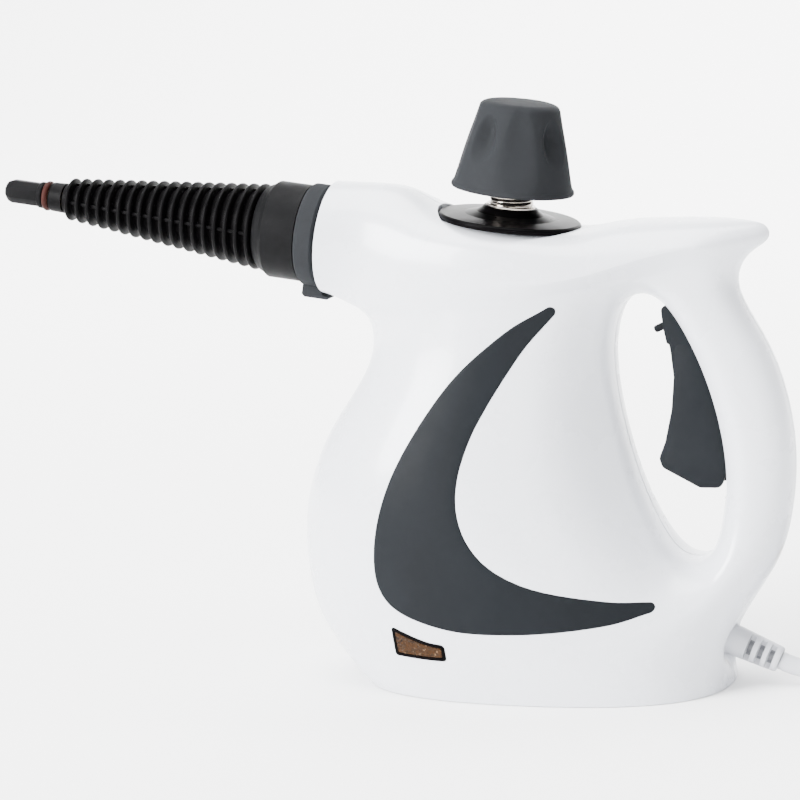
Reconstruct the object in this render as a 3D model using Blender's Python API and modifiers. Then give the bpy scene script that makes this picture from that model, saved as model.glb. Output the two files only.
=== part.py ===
"""Hand-held wallpaper steamer: two plastic half shells around a small boiler, a screwed filler cap,
a ribbed steam nozzle locked by a ring, a hinged steam trigger and a mains lead with its plug.
Metres, +Z up, nozzle towards -X. The origin is on the floor, under the middle of the steamer."""

import math

import bmesh
import bpy
from mathutils import Vector
from mathutils.bvhtree import BVHTree

MM = 0.001

# Driving dimensions, in millimetres.
GAP = 0.3  # between pieces that touch
SHARPEST_MITRE = 0.6  # keeps an inset outline short at a sharp tip
WALL = 2.4  # shell thickness
SEAM = 0.15  # each half shell stops this far from the middle plane

TILT = math.radians(8.3)  # the nozzle points up, and the filler leans back, by this angle
NOZZLE_ROOT = (0.0, 0.0, 169.8)
FILLER_TOP = (51.1, 0.0, 179.8)  # centre of the filler flange's top face

BASE_CENTRE_X = 59.8
BASE_HALF_LENGTH = 73.0
BASE_HALF_WIDTH = 46.2
OVAL_POWER = 2.5
SHELL_FOOT_Z = 0.8
BASE_SCREW_X = (2.0, 114.0)
PLATE_THICKNESS = 2.4
PLATE_INSET = 4.6

MOUTH_RADIUS = 21.9
MOUTH_S = 21.6  # mouth plane, measured along the nozzle axis from its root
CAGE_SWELL = 1.108  # an eight-sided cage around a circle smooths to this much less
RIM_ROUND = 5.0

RING_RADIUS = 19.9
NOZZLE_BASE_RADIUS = 18.9
RIB_COUNT = 18
RIB_FIRST_S = 51.3
RIB_PITCH = 4.69
RIB_LARGE_RADIUS = 16.9
RIB_SMALL_RADIUS = 8.5
RIB_DEPTH = 2.9
TUBE_RADIUS = 3.1

FLANGE_RADIUS = 27.4
NECK_RADIUS = 8.5
NECK_TOP_H = 26.0
CAP_RIM_RADIUS = 23.5
CAP_BOTTOM_H = 10.6
CAP_TOP_H = 44.6
CAP_FLUTES = 8

BOILER_RADIUS = 30.0
BOILER_WALL = 2.5
BOILER_FLANGE_RADIUS = 35.5
BOILER_BOTTOM_H = -150.0
BOILER_JOINT_H = -106.0
BOILER_SHOULDER_H = -76.0
BOILER_TOP_H = -60.0
BOLT_CIRCLE = 33.2

TRIGGER_PIVOT = (121.5, 0.0, 141.0)
TRIGGER_HALF_WIDTH = 7.5
PLUNGER_Z = 158.0
PIPE_RADIUS = 2.6

CORD_RADIUS = 3.5
RELIEF_ROOT = (128.0, 0.0, 18.6)
RELIEF_TILT = math.radians(22.6)
RELIEF_LENGTH = 24.4
COIL_CENTRE = (208.0, 45.5)
COIL_INNER_RADIUS = 28.0
COIL_OUTER_RADIUS = 49.0
COIL_BOTTOM_Z = 0.9
COIL_HEIGHT = 28.0
PLUG_HEIGHT = 18.0

WHITE = ("white_gloss_abs", (0.83, 0.84, 0.87), 0.28, 0.0)
DARK_GREY = ("dark_grey_abs", (0.065, 0.072, 0.08), 0.42, 0.0)
MID_GREY = ("mid_grey_abs", (0.115, 0.12, 0.13), 0.45, 0.0)
BLACK = ("black_nylon", (0.012, 0.011, 0.013), 0.4, 0.0)
GLOSS_BLACK = ("gloss_black_abs", (0.009, 0.009, 0.01), 0.12, 0.0)
CHROME = ("chromed_brass", (0.75, 0.73, 0.7), 0.12, 1.0)
BRASS = ("brass", (0.7, 0.5, 0.22), 0.3, 1.0)
ALUMINIUM = ("cast_aluminium", (0.6, 0.6, 0.61), 0.45, 1.0)
STEEL = ("zinc_plated_steel", (0.6, 0.6, 0.6), 0.35, 1.0)
SILICONE_RED = ("red_silicone", (0.22, 0.055, 0.04), 0.55, 0.0)
RUBBER = ("black_rubber", (0.02, 0.02, 0.02), 0.75, 0.0)
AMBER = ("amber_lens", (0.3, 0.11, 0.04), 0.15, 0.0)
PVC = ("pale_grey_pvc", (0.7, 0.7, 0.73), 0.5, 0.0)


def clear_scene():
    for obj in list(bpy.data.objects):
        bpy.data.objects.remove(obj, do_unlink=True)


def new_collection(name):
    collection = bpy.data.collections.new(name)
    bpy.context.scene.collection.children.link(collection)
    return collection


clear_scene()
PARTS = new_collection("wallpaper_steamer")
CUTTERS = new_collection("cutters")
CUTTERS.hide_render = True


def mm(*values):
    return Vector(values) * MM


def make_material(finish):
    name, colour, roughness, metallic = finish
    found = bpy.data.materials.get(name)
    if found:
        return found
    material = bpy.data.materials.new(name)
    material.use_nodes = True
    shader = material.node_tree.nodes["Principled BSDF"]
    shader.inputs["Base Color"].default_value = (*colour, 1.0)
    shader.inputs["Roughness"].default_value = roughness
    shader.inputs["Metallic"].default_value = metallic
    return material


def put(name, data, finish, parent=None):
    """A new object in the parts' collection, or a cutter where finish is None."""
    obj = bpy.data.objects.new(name, data)
    (PARTS if finish else CUTTERS).objects.link(obj)
    obj.parent = parent
    if finish:
        obj.data.materials.append(make_material(finish))
    else:
        obj.hide_render = True
        obj.display_type = "WIRE"
    return obj


def make_axis(name, place, tilt):
    """An empty whose local +Z leans by tilt from the vertical towards +X."""
    empty = bpy.data.objects.new(name, None)
    PARTS.objects.link(empty)
    empty.location = mm(*place)
    empty.rotation_euler = (0.0, tilt, 0.0)
    return empty


NOZZLE_AXIS = make_axis("nozzle_axis", NOZZLE_ROOT, TILT - math.pi / 2)
FILLER_AXIS = make_axis("filler_axis", FILLER_TOP, TILT)
TRIGGER_AXIS = make_axis("trigger_axis", TRIGGER_PIVOT, 0.0)
RELIEF_AXIS = make_axis("relief_axis", RELIEF_ROOT, math.pi / 2 + RELIEF_TILT)


def smooth(obj, angle=40.0):
    obj.data.shade_smooth()
    obj.data.set_sharp_from_angle(angle=math.radians(angle))


def turned(name, profile, finish, parent=None, closed=False, steps=16):
    """A turned piece about its local Z. The profile of (radius, height) points runs down the outer side,
    and a closed one comes back up its bore."""
    mesh = bpy.data.meshes.new(name)
    points = [mm(radius, 0.0, height) for radius, height in profile]
    edges = [(i, i + 1) for i in range(len(points) - 1)]
    if closed:
        edges.append((len(points) - 1, 0))
    mesh.from_pydata(points, edges, [])
    obj = put(name, mesh, finish, parent)
    screw = obj.modifiers.new("turn", "SCREW")
    screw.angle = 2 * math.pi
    screw.steps = steps
    screw.render_steps = steps
    screw.use_merge_vertices = True
    screw.merge_threshold = 1e-5
    return obj


def evaluated_mesh(obj):
    """The object's mesh after its modifiers, with the caps of a curve welded."""
    bpy.context.view_layer.update()
    graph = bpy.context.evaluated_depsgraph_get()
    mesh = bpy.data.meshes.new_from_object(obj.evaluated_get(graph))
    work = bmesh.new()
    work.from_mesh(mesh)
    bmesh.ops.remove_doubles(work, verts=work.verts, dist=1e-6)
    bmesh.ops.recalc_face_normals(work, faces=work.faces)
    work.to_mesh(mesh)
    work.free()
    return mesh


def as_mesh_object(curve_object):
    """The curve object made a mesh object of the same name, place and parent."""
    name = curve_object.name
    mesh = evaluated_mesh(curve_object)
    solid = bpy.data.objects.new(name, mesh)
    for collection in curve_object.users_collection:
        collection.objects.link(solid)
    solid.parent = curve_object.parent
    solid.matrix_world = curve_object.matrix_world
    solid.hide_render = curve_object.hide_render
    solid.display_type = curve_object.display_type
    bpy.data.objects.remove(curve_object, do_unlink=True)
    solid.name = name
    mesh.name = name
    return solid


def flat_plate(name, outlines, thickness, finish, parent=None, y=0.0):
    """Closed outlines of (x, z) points, filled and given a thickness along Y. Later outlines are holes."""
    curve = bpy.data.curves.new(name, "CURVE")
    curve.dimensions = "2D"
    curve.fill_mode = "BOTH"
    curve.extrude = thickness / 2 * MM
    for outline in outlines:
        spline = curve.splines.new("POLY")
        spline.points.add(len(outline) - 1)
        for point, (x, z) in zip(spline.points, outline):
            point.co = (x * MM, z * MM, 0.0, 1.0)
        spline.use_cyclic_u = True
    obj = put(name, curve, finish, parent)
    obj.rotation_euler = (math.pi / 2, 0.0, 0.0)
    obj.location = mm(0.0, y, 0.0)
    return as_mesh_object(obj)


def level_plate(name, outlines, thickness, finish, parent=None, z=0.0):
    """Closed outlines of (x, y) points, filled, and given a thickness about height z."""
    obj = flat_plate(name, outlines, thickness, finish, parent)
    obj.rotation_euler = (0.0, 0.0, 0.0)
    obj.location = mm(0.0, 0.0, z)
    return obj


def tube(name, points, radius, finish, parent=None, resolution=2):
    curve = bpy.data.curves.new(name, "CURVE")
    curve.dimensions = "3D"
    curve.bevel_depth = radius * MM
    curve.bevel_resolution = resolution
    curve.use_fill_caps = True
    spline = curve.splines.new("POLY")
    spline.points.add(len(points) - 1)
    for point, place in zip(spline.points, points):
        point.co = (*(Vector(place) * MM), 1.0)
    return put(name, curve, finish, parent)


def smooth_route(points, step):
    """Points about step apart on a smooth curve through the given ones."""
    given = [Vector(point) for point in points]
    ends = [2 * given[0] - given[1], *given, 2 * given[-1] - given[-2]]
    route = []
    for before, start, end, after in zip(ends, ends[1:], ends[2:], ends[3:]):
        count = max(2, round((end - start).length / step))
        for i in range(count):
            t = i / count
            route.append(
                0.5 * (2 * start + (end - before) * t
                       + (2 * before - 5 * start + 4 * end - after) * t**2
                       + (3 * start - before - 3 * end + after) * t**3)
            )
    return [*route, given[-1]]


def helix(radius, start, end, turns, points_per_turn=8):
    count = turns * points_per_turn
    return [
        (radius * math.cos(2 * math.pi * i / points_per_turn),
         radius * math.sin(2 * math.pi * i / points_per_turn),
         start + (end - start) * i / count)
        for i in range(count + 1)
    ]


def box(name, size, centre, finish, parent=None, bevel=0.0):
    mesh = bpy.data.meshes.new(name)
    work = bmesh.new()
    bmesh.ops.create_cube(work, size=1.0)
    bmesh.ops.scale(work, verts=work.verts, vec=mm(*size))
    work.to_mesh(mesh)
    work.free()
    obj = put(name, mesh, finish, parent)
    obj.location = mm(*centre)
    if bevel:
        add_bevel(obj, bevel)
    return obj


def add_bevel(obj, width, segments=1, angle=40.0):
    bevel = obj.modifiers.new("edges", "BEVEL")
    bevel.width = width * MM
    bevel.segments = segments
    bevel.limit_method = "ANGLE"
    bevel.angle_limit = math.radians(angle)


def cylinder(name, radius, start, end, finish, parent=None, steps=16, top_radius=None):
    """A round bar between two heights of its local Z."""
    top = radius if top_radius is None else top_radius
    return turned(name, [(0.0, end), (top, end), (radius, start), (0.0, start)], finish, parent, steps=steps)


def boolean(obj, other, operation="DIFFERENCE"):
    modifier = obj.modifiers.new(other.name, "BOOLEAN")
    modifier.operation = operation
    modifier.solver = "EXACT"
    modifier.object = other


def across(obj, place):
    """Turn a piece made about local Z so that it runs along +Y from a place."""
    obj.rotation_euler = (-math.pi / 2, 0.0, 0.0)
    obj.location = mm(*place)
    return obj


def along_x(obj, place):
    """Turn a piece made about local Z so that it runs along +X from a place."""
    obj.rotation_euler = (0.0, math.pi / 2, 0.0)
    obj.location = mm(*place)
    return obj


# The half shells: one cage of rows from the foot up, each row from the front seam to the rear seam.


def oval_row(centre_x, half_length, half_width, z_front, z_rear, squeeze=1.0):
    """A level row around an oval plan. squeeze narrows its rear end, where the grip starts."""
    row = []
    for degrees in (180, 160, 137, 108, 84, 63, 46, 31, 15, 0):
        turn = math.radians(degrees)
        along = math.copysign(abs(math.cos(turn)) ** (2 / OVAL_POWER), math.cos(turn))
        side = math.sin(turn) ** (2 / OVAL_POWER)
        rear = max(0.0, along)
        row.append((centre_x + half_length * along,
                    half_width * side * (1 - (1 - squeeze) * rear),
                    z_front + (z_rear - z_front) * (along + 1) / 2))
    return row


# Rows that cross the finger hole: front seam, hole's front and rear edges, rear seam, all (x, z), then the
# half widths of the belly, of the hole's rim and of the grip.
HOLE_ROWS = (
    ((-38.0, 52.0), (113.5, 48.6), (127.0, 49.0), (151.5, 46.0), 48.3, 23.0, 20.0),
    ((-37.0, 68.0), (105.0, 63.0), (131.4, 63.5), (157.0, 63.0), 47.3, 19.0, 16.5),
    ((-32.4, 84.0), (98.2, 80.0), (133.2, 80.0), (159.8, 82.0), 45.3, 17.0, 15.2),
    ((-25.0, 99.0), (93.2, 99.5), (131.2, 98.0), (159.5, 99.0), 42.0, 16.0, 14.6),
    ((-14.2, 113.0), (90.2, 118.0), (126.8, 116.0), (156.6, 115.5), 38.5, 16.0, 14.2),
    ((-4.6, 128.0), (90.0, 134.5), (120.7, 133.0), (150.6, 132.0), 35.5, 16.5, 14.2),
    ((-5.8, 144.5), (95.2, 150.8), (110.2, 152.6), (141.3, 146.5), 33.5, 18.5, 14.6),
)
# How far back, and how wide, each column of the front part lies.
FRONT_COLUMNS = ((0.02, 0.36, 0.0), (0.2, 0.79, 0.0), (0.5, 1.0, 0.0), (0.82, 0.7, 0.3))

# Rows over the shoulders: throat, filler seat and thumb rest, from the mouth to the rear (x, half width, z).
LOW_ROW = ((-11, 14, 148.5), (4, 23.5, 149), (22, 29, 150), (50, 32.3, 149.5),
           (84, 25, 155.5), (108, 18.6, 161), (122, 15.6, 161.6), (133, 13, 161))
SIDE_ROW = ((-6, 19.5, 157.5), (8, 24, 160), (23, 28.5, 161.5), (50, 33, 159),
            (80, 30, 159.4), (100, 25, 165.3), (118, 20.5, 169.4), (137, 18, 171.4))
EDGE_ROW = ((-3.5, 20.6, 178), (10, 22.8, 177.5), (24, 27.5, 175.5), (50, 32, 171.5),
            (79, 28.4, 168.8), (94, 23.8, 171.6), (113, 18.8, 174.2), (137, 16.2, 175.4))
CROWN_ROW = ((-3, 11.5, 191.2), (12, 12.6, 190.3), (24.5, 15.5, 182), (50, 18, 177.5),
             (79, 16.5, 173.6), (93, 13.5, 177.6), (113, 11, 178.4), (137, 10, 178.4))
SEAM_ROW = ((-3, 0, 195), (13, 0, 194.2), (24, 0, 184), (50, 0, 177.5),
            (79, 0, 173.4), (92, 0, 179), (113, 0, 179.2), (137, 0, 179.2))
MOUTH_ANGLES = (-90, -45, 0, 45, 90)  # where these rows meet the mouth, from the side up
REAR_ENDS = ((140.4, 155.5), (147.0, 164.0), (156.8, 168.6), (157.0, 174.0), (150.0, 177.6))


def mouth_point(degrees):
    """A point (x, half width, z) of the throat's round mouth."""
    turn = math.radians(degrees)
    reach = MOUTH_RADIUS * CAGE_SWELL
    lift = reach * math.sin(turn)
    return (NOZZLE_ROOT[0] - MOUTH_S * math.cos(TILT) + lift * math.sin(TILT),
            reach * math.cos(turn),
            NOZZLE_ROOT[2] + MOUTH_S * math.sin(TILT) + lift * math.cos(TILT))


def hole_row(front, rim_front, rim_rear, rear, belly, rim, grip):
    row = [(front[0], 0.0, front[1])]
    for back, wide, rim_share in FRONT_COLUMNS:
        row.append((front[0] + (rim_front[0] - front[0]) * back,
                    belly * wide + rim * rim_share,
                    front[1] + (rim_front[1] - front[1]) * back))
    row.append((rim_front[0], rim, rim_front[1]))
    row.append((rim_rear[0], rim * 0.9, rim_rear[1]))
    depth = (rear[0] - rim_rear[0], rear[1] - rim_rear[1])
    for back, wide in ((0.5, 1.0), (0.92, 0.68)):
        row.append((rim_rear[0] + depth[0] * back, grip * wide, rim_rear[1] + depth[1] * back))
    row.append((rear[0], 0.0, rear[1]))
    return row


def hole_loop():
    """The hole's outline (x, z), up its front edge and down its rear edge."""
    fronts = [row[1] for row in HOLE_ROWS]
    rears = [row[2] for row in HOLE_ROWS]
    return fronts + rears[::-1]


def cage_rows():
    rows = [
        oval_row(BASE_CENTRE_X, BASE_HALF_LENGTH, BASE_HALF_WIDTH, SHELL_FOOT_Z, SHELL_FOOT_Z),
        oval_row(55.1, 76.6, 47.6, 9.0, 9.0),
        oval_row(50.4, 86.2, 48.8, 29.0, 27.0, squeeze=0.8),
    ]
    rows += [hole_row(*row) for row in HOLE_ROWS]
    shoulders = (LOW_ROW, SIDE_ROW, EDGE_ROW, CROWN_ROW, SEAM_ROW)
    for degrees, points, (x, z) in zip(MOUTH_ANGLES, shoulders, REAR_ENDS):
        rows.append([mouth_point(degrees), *points, (x, 0.0, z)])
    return rows


HOLE_BOTTOM_ROW = 3
HOLE_TOP_ROW = HOLE_BOTTOM_ROW + len(HOLE_ROWS) - 1
HOLE_COLUMN = 5


def shell_cage(name):
    """The cage of the left (-Y) half, open at the middle plane."""
    rows = cage_rows()
    work = bmesh.new()
    loop = hole_loop()
    centre = sum((Vector(point) for point in loop), Vector((0.0, 0.0))) / len(loop)
    verts = []
    for r, row in enumerate(rows):
        line = []
        for c, (x, half, z) in enumerate(row):
            if HOLE_BOTTOM_ROW <= r <= HOLE_TOP_ROW and c in (HOLE_COLUMN, HOLE_COLUMN + 1):
                out = (Vector((x, z)) - centre)
                out.x *= 2.2  # the hole is tall, so its rim mostly steps sideways
                x, z = Vector((x, z)) + out.normalized() * RIM_ROUND
            line.append(work.verts.new(mm(x, -half, z)))
        verts.append(line)
    columns = len(rows[0])
    for r in range(len(rows) - 1):
        for c in range(columns - 1):
            if HOLE_BOTTOM_ROW <= r < HOLE_TOP_ROW and c == HOLE_COLUMN:
                continue
            work.faces.new((verts[r][c], verts[r][c + 1], verts[r + 1][c + 1], verts[r + 1][c]))
    hole_range = range(HOLE_BOTTOM_ROW, HOLE_TOP_ROW + 1)
    rim = [verts[r][HOLE_COLUMN] for r in hole_range]
    rim += [verts[r][HOLE_COLUMN + 1] for r in reversed(hole_range)]
    for share in (0.55, 0.0):
        inner = [work.verts.new((x * MM, vert.co.y * share, z * MM)) for vert, (x, z) in zip(rim, loop)]
        for i in range(len(rim)):
            j = (i + 1) % len(rim)
            work.faces.new((rim[i], rim[j], inner[j], inner[i]))
        rim = inner
    bmesh.ops.recalc_face_normals(work, faces=work.faces)
    work.faces.ensure_lookup_table()
    belly = max(work.faces, key=lambda face: abs(face.calc_center_median().y))
    if belly.normal.y > 0:
        bmesh.ops.reverse_faces(work, faces=work.faces)
    mesh = bpy.data.meshes.new(name)
    work.to_mesh(mesh)
    work.free()
    return mesh


def add_form(obj):
    """Mirror the half cage and smooth it into the body's outer surface."""
    mirror = obj.modifiers.new("both_halves", "MIRROR")
    mirror.use_axis = (False, True, False)
    mirror.merge_threshold = 1e-5
    subdivision = obj.modifiers.new("form", "SUBSURF")
    subdivision.levels = 1
    subdivision.render_levels = 1
    return obj


def shell_skin(name, finish, thickness, proud=0.0):
    """The body's surface given a thickness inwards, standing proud of it by a little."""
    obj = add_form(put(name, shell_cage(name), finish))
    wall = obj.modifiers.new("wall", "SOLIDIFY")
    wall.thickness = thickness * MM
    wall.offset = 2 * proud / thickness - 1
    wall.use_even_offset = True
    return obj


def half_space(side):
    """A block on the far side of the middle plane, which trims a half at the seam."""
    return box(f"seam_cut_{'left' if side < 0 else 'right'}", (500, 60, 300),
               (0, -side * (30 - SEAM), 100), None)


CRESCENT_OUTER = ((74.5, 148.6), (55.0, 139.5), (32.3, 119.0), (11.0, 86.5), (2.4, 57.0), (7.6, 38.0),
                  (30.5, 28.8), (59.3, 27.3), (91.6, 30.4), (109.5, 37.5))
CRESCENT_INNER = ((91.6, 40.2), (62.6, 46.2), (44.8, 58.2), (37.8, 77.0), (43.4, 101.0), (61.0, 130.0))


def crescent_outline(inset=0.0):
    tip, tail = CRESCENT_OUTER[0], CRESCENT_OUTER[-1]
    flat = [(x, z, 0.0) for x, z in CRESCENT_OUTER]
    back = [(x, z, 0.0) for x, z in (tail, *CRESCENT_INNER, tip)]
    points = smooth_route(flat, 11.0)[:-1] + smooth_route(back, 11.0)[:-1]
    return shrink([(point.x, point.y) for point in points], inset)


def shrink(outline, inset):
    """The counter-clockwise or clockwise outline moved inwards by inset."""
    if not inset:
        return outline
    area = sum(a[0] * b[1] - b[0] * a[1] for a, b in zip(outline, outline[1:] + outline[:1]))
    turn = 1.0 if area > 0 else -1.0
    normals = []
    for here, after in zip(outline, outline[1:] + outline[:1]):
        along = (Vector(after) - Vector(here)).normalized()
        normals.append(Vector((-along.y, along.x)) * turn)
    moved = []
    for here, first, second in zip(outline, normals[-1:] + normals[:-1], normals):
        reach = inset / max(SHARPEST_MITRE, 1 + first.dot(second))
        moved.append(tuple(Vector(here) + (first + second) * reach))
    return moved


WINDOW_OUTLINE = ((9.5, 27.5), (10.5, 16.2), (31.5, 15.3), (30.6, 21.6), (24.5, 22.3), (17.5, 24.3))

SCREW_PLACES = ((-14.0, 60.0), (84.0, 14.0), (146.0, 62.0), (133.2, 163.2))
BOSS_RADIUS = 3.6
BOSS_START = 0.7
TRIGGER_SLOT = ((105.0, 148.5), (126.0, 148.5), (140.5, 110.0), (142.5, 73.5), (114.0, 73.5))


def joined(name, pieces):
    """One cutter made of several that don't touch each other."""
    bpy.context.view_layer.update()
    work = bmesh.new()
    for piece in pieces:
        mesh = evaluated_mesh(piece)
        mesh.transform(piece.matrix_world)
        work.from_mesh(mesh)
        bpy.data.objects.remove(piece, do_unlink=True)
    mesh = bpy.data.meshes.new(name)
    work.to_mesh(mesh)
    work.free()
    return put(name, mesh, None)


def opening_cutters(side, word):
    seat = FLANGE_RADIUS + 0.4
    filler = turned(f"filler_hole_{word}",
                    [(0, 60), (seat, 60), (seat, -1.7), (20.3, -1.7), (20.3, -14), (0, -14)],
                    None, FILLER_AXIS, steps=32)
    cutters = [
        filler,
        flat_plate(f"crescent_hole_{word}", [crescent_outline()], 40, None, y=side * 40),
        flat_plate(f"trigger_hole_{word}", [TRIGGER_SLOT], 17.8, None),
        cylinder(f"lead_hole_{word}", 6.1, -4, 18, None, RELIEF_AXIS),
    ]
    if side < 0:
        cutters.append(flat_plate("window_hole", [WINDOW_OUTLINE], 40, None, y=side * 40))
    return joined(f"openings_{word}", cutters)


def screw_bosses(side, word):
    bosses = []
    for i, (x, z) in enumerate(SCREW_PLACES):
        reach = skin_half_width(x, z) - WALL / 2
        boss = cylinder(f"boss_{word}_{i + 1}", BOSS_RADIUS, 0.0, reach - BOSS_START, None, steps=10)
        bosses.append(across(boss, (x, BOSS_START if side > 0 else -reach, z)))
    return joined(f"bosses_{word}", bosses)


def screw_bores(side, word):
    bores = []
    for i, (x, z) in enumerate(SCREW_PLACES):
        if side > 0:
            profile = [(0, 80), (3.0, 80), (3.0, 5.2), (1.7, 5.2), (1.7, -1), (0, -1)]
        else:
            profile = [(0, 1), (1.7, 1), (1.7, -9.5), (0, -9.5)]
        bores.append(across(turned(f"bore_{word}_{i + 1}", profile, None, steps=12), (x, 0, z)))
    return joined(f"screw_bores_{word}", bores)


def make_shells():
    for side, word in ((-1, "left"), (1, "right")):
        shell = shell_skin(f"body_shell_{word}", WHITE, WALL)
        boolean(shell, half_space(side))
        boolean(shell, opening_cutters(side, word))
        boolean(shell, screw_bosses(side, word), "UNION")
        boolean(shell, screw_bores(side, word))
        smooth(shell)


def make_skin_tree():
    """The outer skin of the left half, for finding how wide the body is at a place."""
    skin = add_form(put("skin_guide", shell_cage("skin_guide"), None))
    work = bmesh.new()
    work.from_mesh(evaluated_mesh(skin))
    tree = BVHTree.FromBMesh(work)
    work.free()
    return tree


def skin_half_width(x, z):
    hit = SKIN_TREE.ray_cast(mm(x, -200, z), Vector((0, 1, 0)))[0]
    return -hit.y / MM


def make_crescents():
    for side, word in ((-1, "left"), (1, "right")):
        name = f"crescent_panel_{word}"
        panel = shell_skin(name, DARK_GREY, WALL + 0.4, proud=0.25)
        outline = flat_plate(f"crescent_form_{word}", [crescent_outline(GAP)], 40, None, y=side * 40)
        boolean(panel, outline, "INTERSECT")
        smooth(panel)


def make_window():
    bezel = shell_skin("window_bezel", GLOSS_BLACK, WALL + 0.6, proud=0.4)
    outline = list(WINDOW_OUTLINE)
    form = flat_plate("bezel_form", [shrink(outline, GAP)], 40, None, y=-40)
    opening = flat_plate("bezel_opening", [shrink(outline, 1.6)], 40, None, y=-40)
    boolean(bezel, form, "INTERSECT")
    boolean(bezel, opening)
    lens = shell_skin("indicator_lens", AMBER, WALL, proud=0.0)
    boolean(lens, flat_plate("lens_form", [shrink(outline, 2.1)], 40, None, y=-40), "INTERSECT")
    lamp = cylinder("indicator_lamp", 2.5, 0.0, 9.0, AMBER, steps=12)
    across(lamp, (20, -38.5, 20))


def make_base():
    outline = []
    for i in range(40):
        turn = 2 * math.pi * i / 40
        along = math.copysign(abs(math.cos(turn)) ** (2 / OVAL_POWER), math.cos(turn))
        side = math.copysign(abs(math.sin(turn)) ** (2 / OVAL_POWER), math.sin(turn))
        outline.append((BASE_CENTRE_X + (BASE_HALF_LENGTH - PLATE_INSET) * along,
                        (BASE_HALF_WIDTH - PLATE_INSET) * side))
    plate = level_plate("base_plate", [outline], PLATE_THICKNESS, WHITE, z=PLATE_THICKNESS / 2)
    for i, x in enumerate(BASE_SCREW_X):
        bore = cylinder(f"base_bore_{i + 1}", 3.3, -1, 1.8, None, steps=12)
        bore.location = mm(x, 0, 0)
        shank = cylinder(f"base_shank_bore_{i + 1}", 1.8, -1, 5, None, steps=12)
        shank.location = mm(x, 0, 0)
        boolean(plate, bore)
        boolean(plate, shank)
        screw = turned(f"base_screw_{i + 1}",
                       [(0, 9), (1.4, 9), (1.4, 1.5), (2.9, 1.5), (2.9, 0.3), (0, 0.3)], STEEL, steps=12)
        screw.location = mm(x, 0, 0)


def make_shell_screws():
    for i, (x, z) in enumerate(SCREW_PLACES):
        screw = turned(f"shell_screw_{i + 1}",
                       [(0, 7.7), (2.6, 7.7), (2.6, 5.5), (1.3, 5.5), (1.3, -8.5), (0, -8.5)], STEEL, steps=12)
        across(screw, (x, 0, z))


def make_filler():
    turned("filler_collar",
           [(8.9, 6.4), (10.5, 6.4), (11.4, 4.6), (14.0, 2.0), (16.5, 0.7), (25.8, 0.1), (FLANGE_RADIUS, -0.5),
            (FLANGE_RADIUS, -1.3), (19.6, -1.3), (19.6, -6.0), (8.9, -6.0)],
           GLOSS_BLACK, FILLER_AXIS, closed=True, steps=24)
    turned("filler_neck",
           [(6.6, NECK_TOP_H), (NECK_RADIUS, NECK_TOP_H), (NECK_RADIUS, -6.4), (6.6, -6.4)],
           CHROME, FILLER_AXIS, closed=True)


def make_boiler():
    inner = BOILER_RADIUS - BOILER_WALL
    turned("boiler_lower",
           [(inner, BOILER_JOINT_H - 0.8), (BOILER_FLANGE_RADIUS, BOILER_JOINT_H - 0.8),
            (BOILER_FLANGE_RADIUS, BOILER_JOINT_H - 3.0), (BOILER_RADIUS, BOILER_JOINT_H - 3.0),
            (BOILER_RADIUS, BOILER_BOTTOM_H + 4), (BOILER_RADIUS - 4, BOILER_BOTTOM_H), (0, BOILER_BOTTOM_H),
            (0, BOILER_BOTTOM_H + BOILER_WALL), (inner - 3, BOILER_BOTTOM_H + BOILER_WALL),
            (inner, BOILER_BOTTOM_H + 5.5)],
           ALUMINIUM, FILLER_AXIS, closed=True)
    turned("boiler_gasket",
           [(inner, BOILER_JOINT_H + 0.5), (BOILER_FLANGE_RADIUS, BOILER_JOINT_H + 0.5),
            (BOILER_FLANGE_RADIUS, BOILER_JOINT_H - 0.5), (inner, BOILER_JOINT_H - 0.5)],
           SILICONE_RED, FILLER_AXIS, closed=True)
    turned("boiler_upper",
           [(7.0, -6.8), (8.6, -6.8), (8.6, BOILER_TOP_H), (20, BOILER_TOP_H - 3.5),
            (BOILER_RADIUS, BOILER_SHOULDER_H), (BOILER_RADIUS, BOILER_JOINT_H + 3.0),
            (BOILER_FLANGE_RADIUS, BOILER_JOINT_H + 3.0), (BOILER_FLANGE_RADIUS, BOILER_JOINT_H + 0.8),
            (inner, BOILER_JOINT_H + 0.8), (inner, BOILER_SHOULDER_H - 1), (19, BOILER_TOP_H - 6.3),
            (7.0, BOILER_TOP_H - 3)],
           ALUMINIUM, FILLER_AXIS, closed=True)
    bolt_profile = [(0, 6.2), (2.2, 6.2), (2.2, 3.3), (1.0, 3.3), (1.0, -5.2), (0, -5.2)]
    bores = []
    for i in range(4):
        turn = math.radians(37 + 90 * i)
        place = (BOLT_CIRCLE * math.cos(turn), BOLT_CIRCLE * math.sin(turn), BOILER_JOINT_H)
        bolt = turned(f"boiler_bolt_{i + 1}", bolt_profile, STEEL, FILLER_AXIS, steps=8)
        bolt.location = mm(*place)
        bore = cylinder(f"bolt_bore_{i + 1}", 1.4, -12, 12, None, FILLER_AXIS, steps=8)
        bore.location = mm(*place)
        bores.append(bore)
    turned("boiler_bracket",
           [(BOILER_RADIUS + 0.6, -109.3), (38.5, -109.3), (38.5, -111.3), (BOILER_RADIUS + 0.6, -111.3)],
           STEEL, FILLER_AXIS, closed=True)
    bolt_bores = joined("bolt_bores", bores)
    for name in ("boiler_lower", "boiler_gasket", "boiler_upper", "boiler_bracket"):
        boolean(bpy.data.objects[name], bolt_bores)


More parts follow.
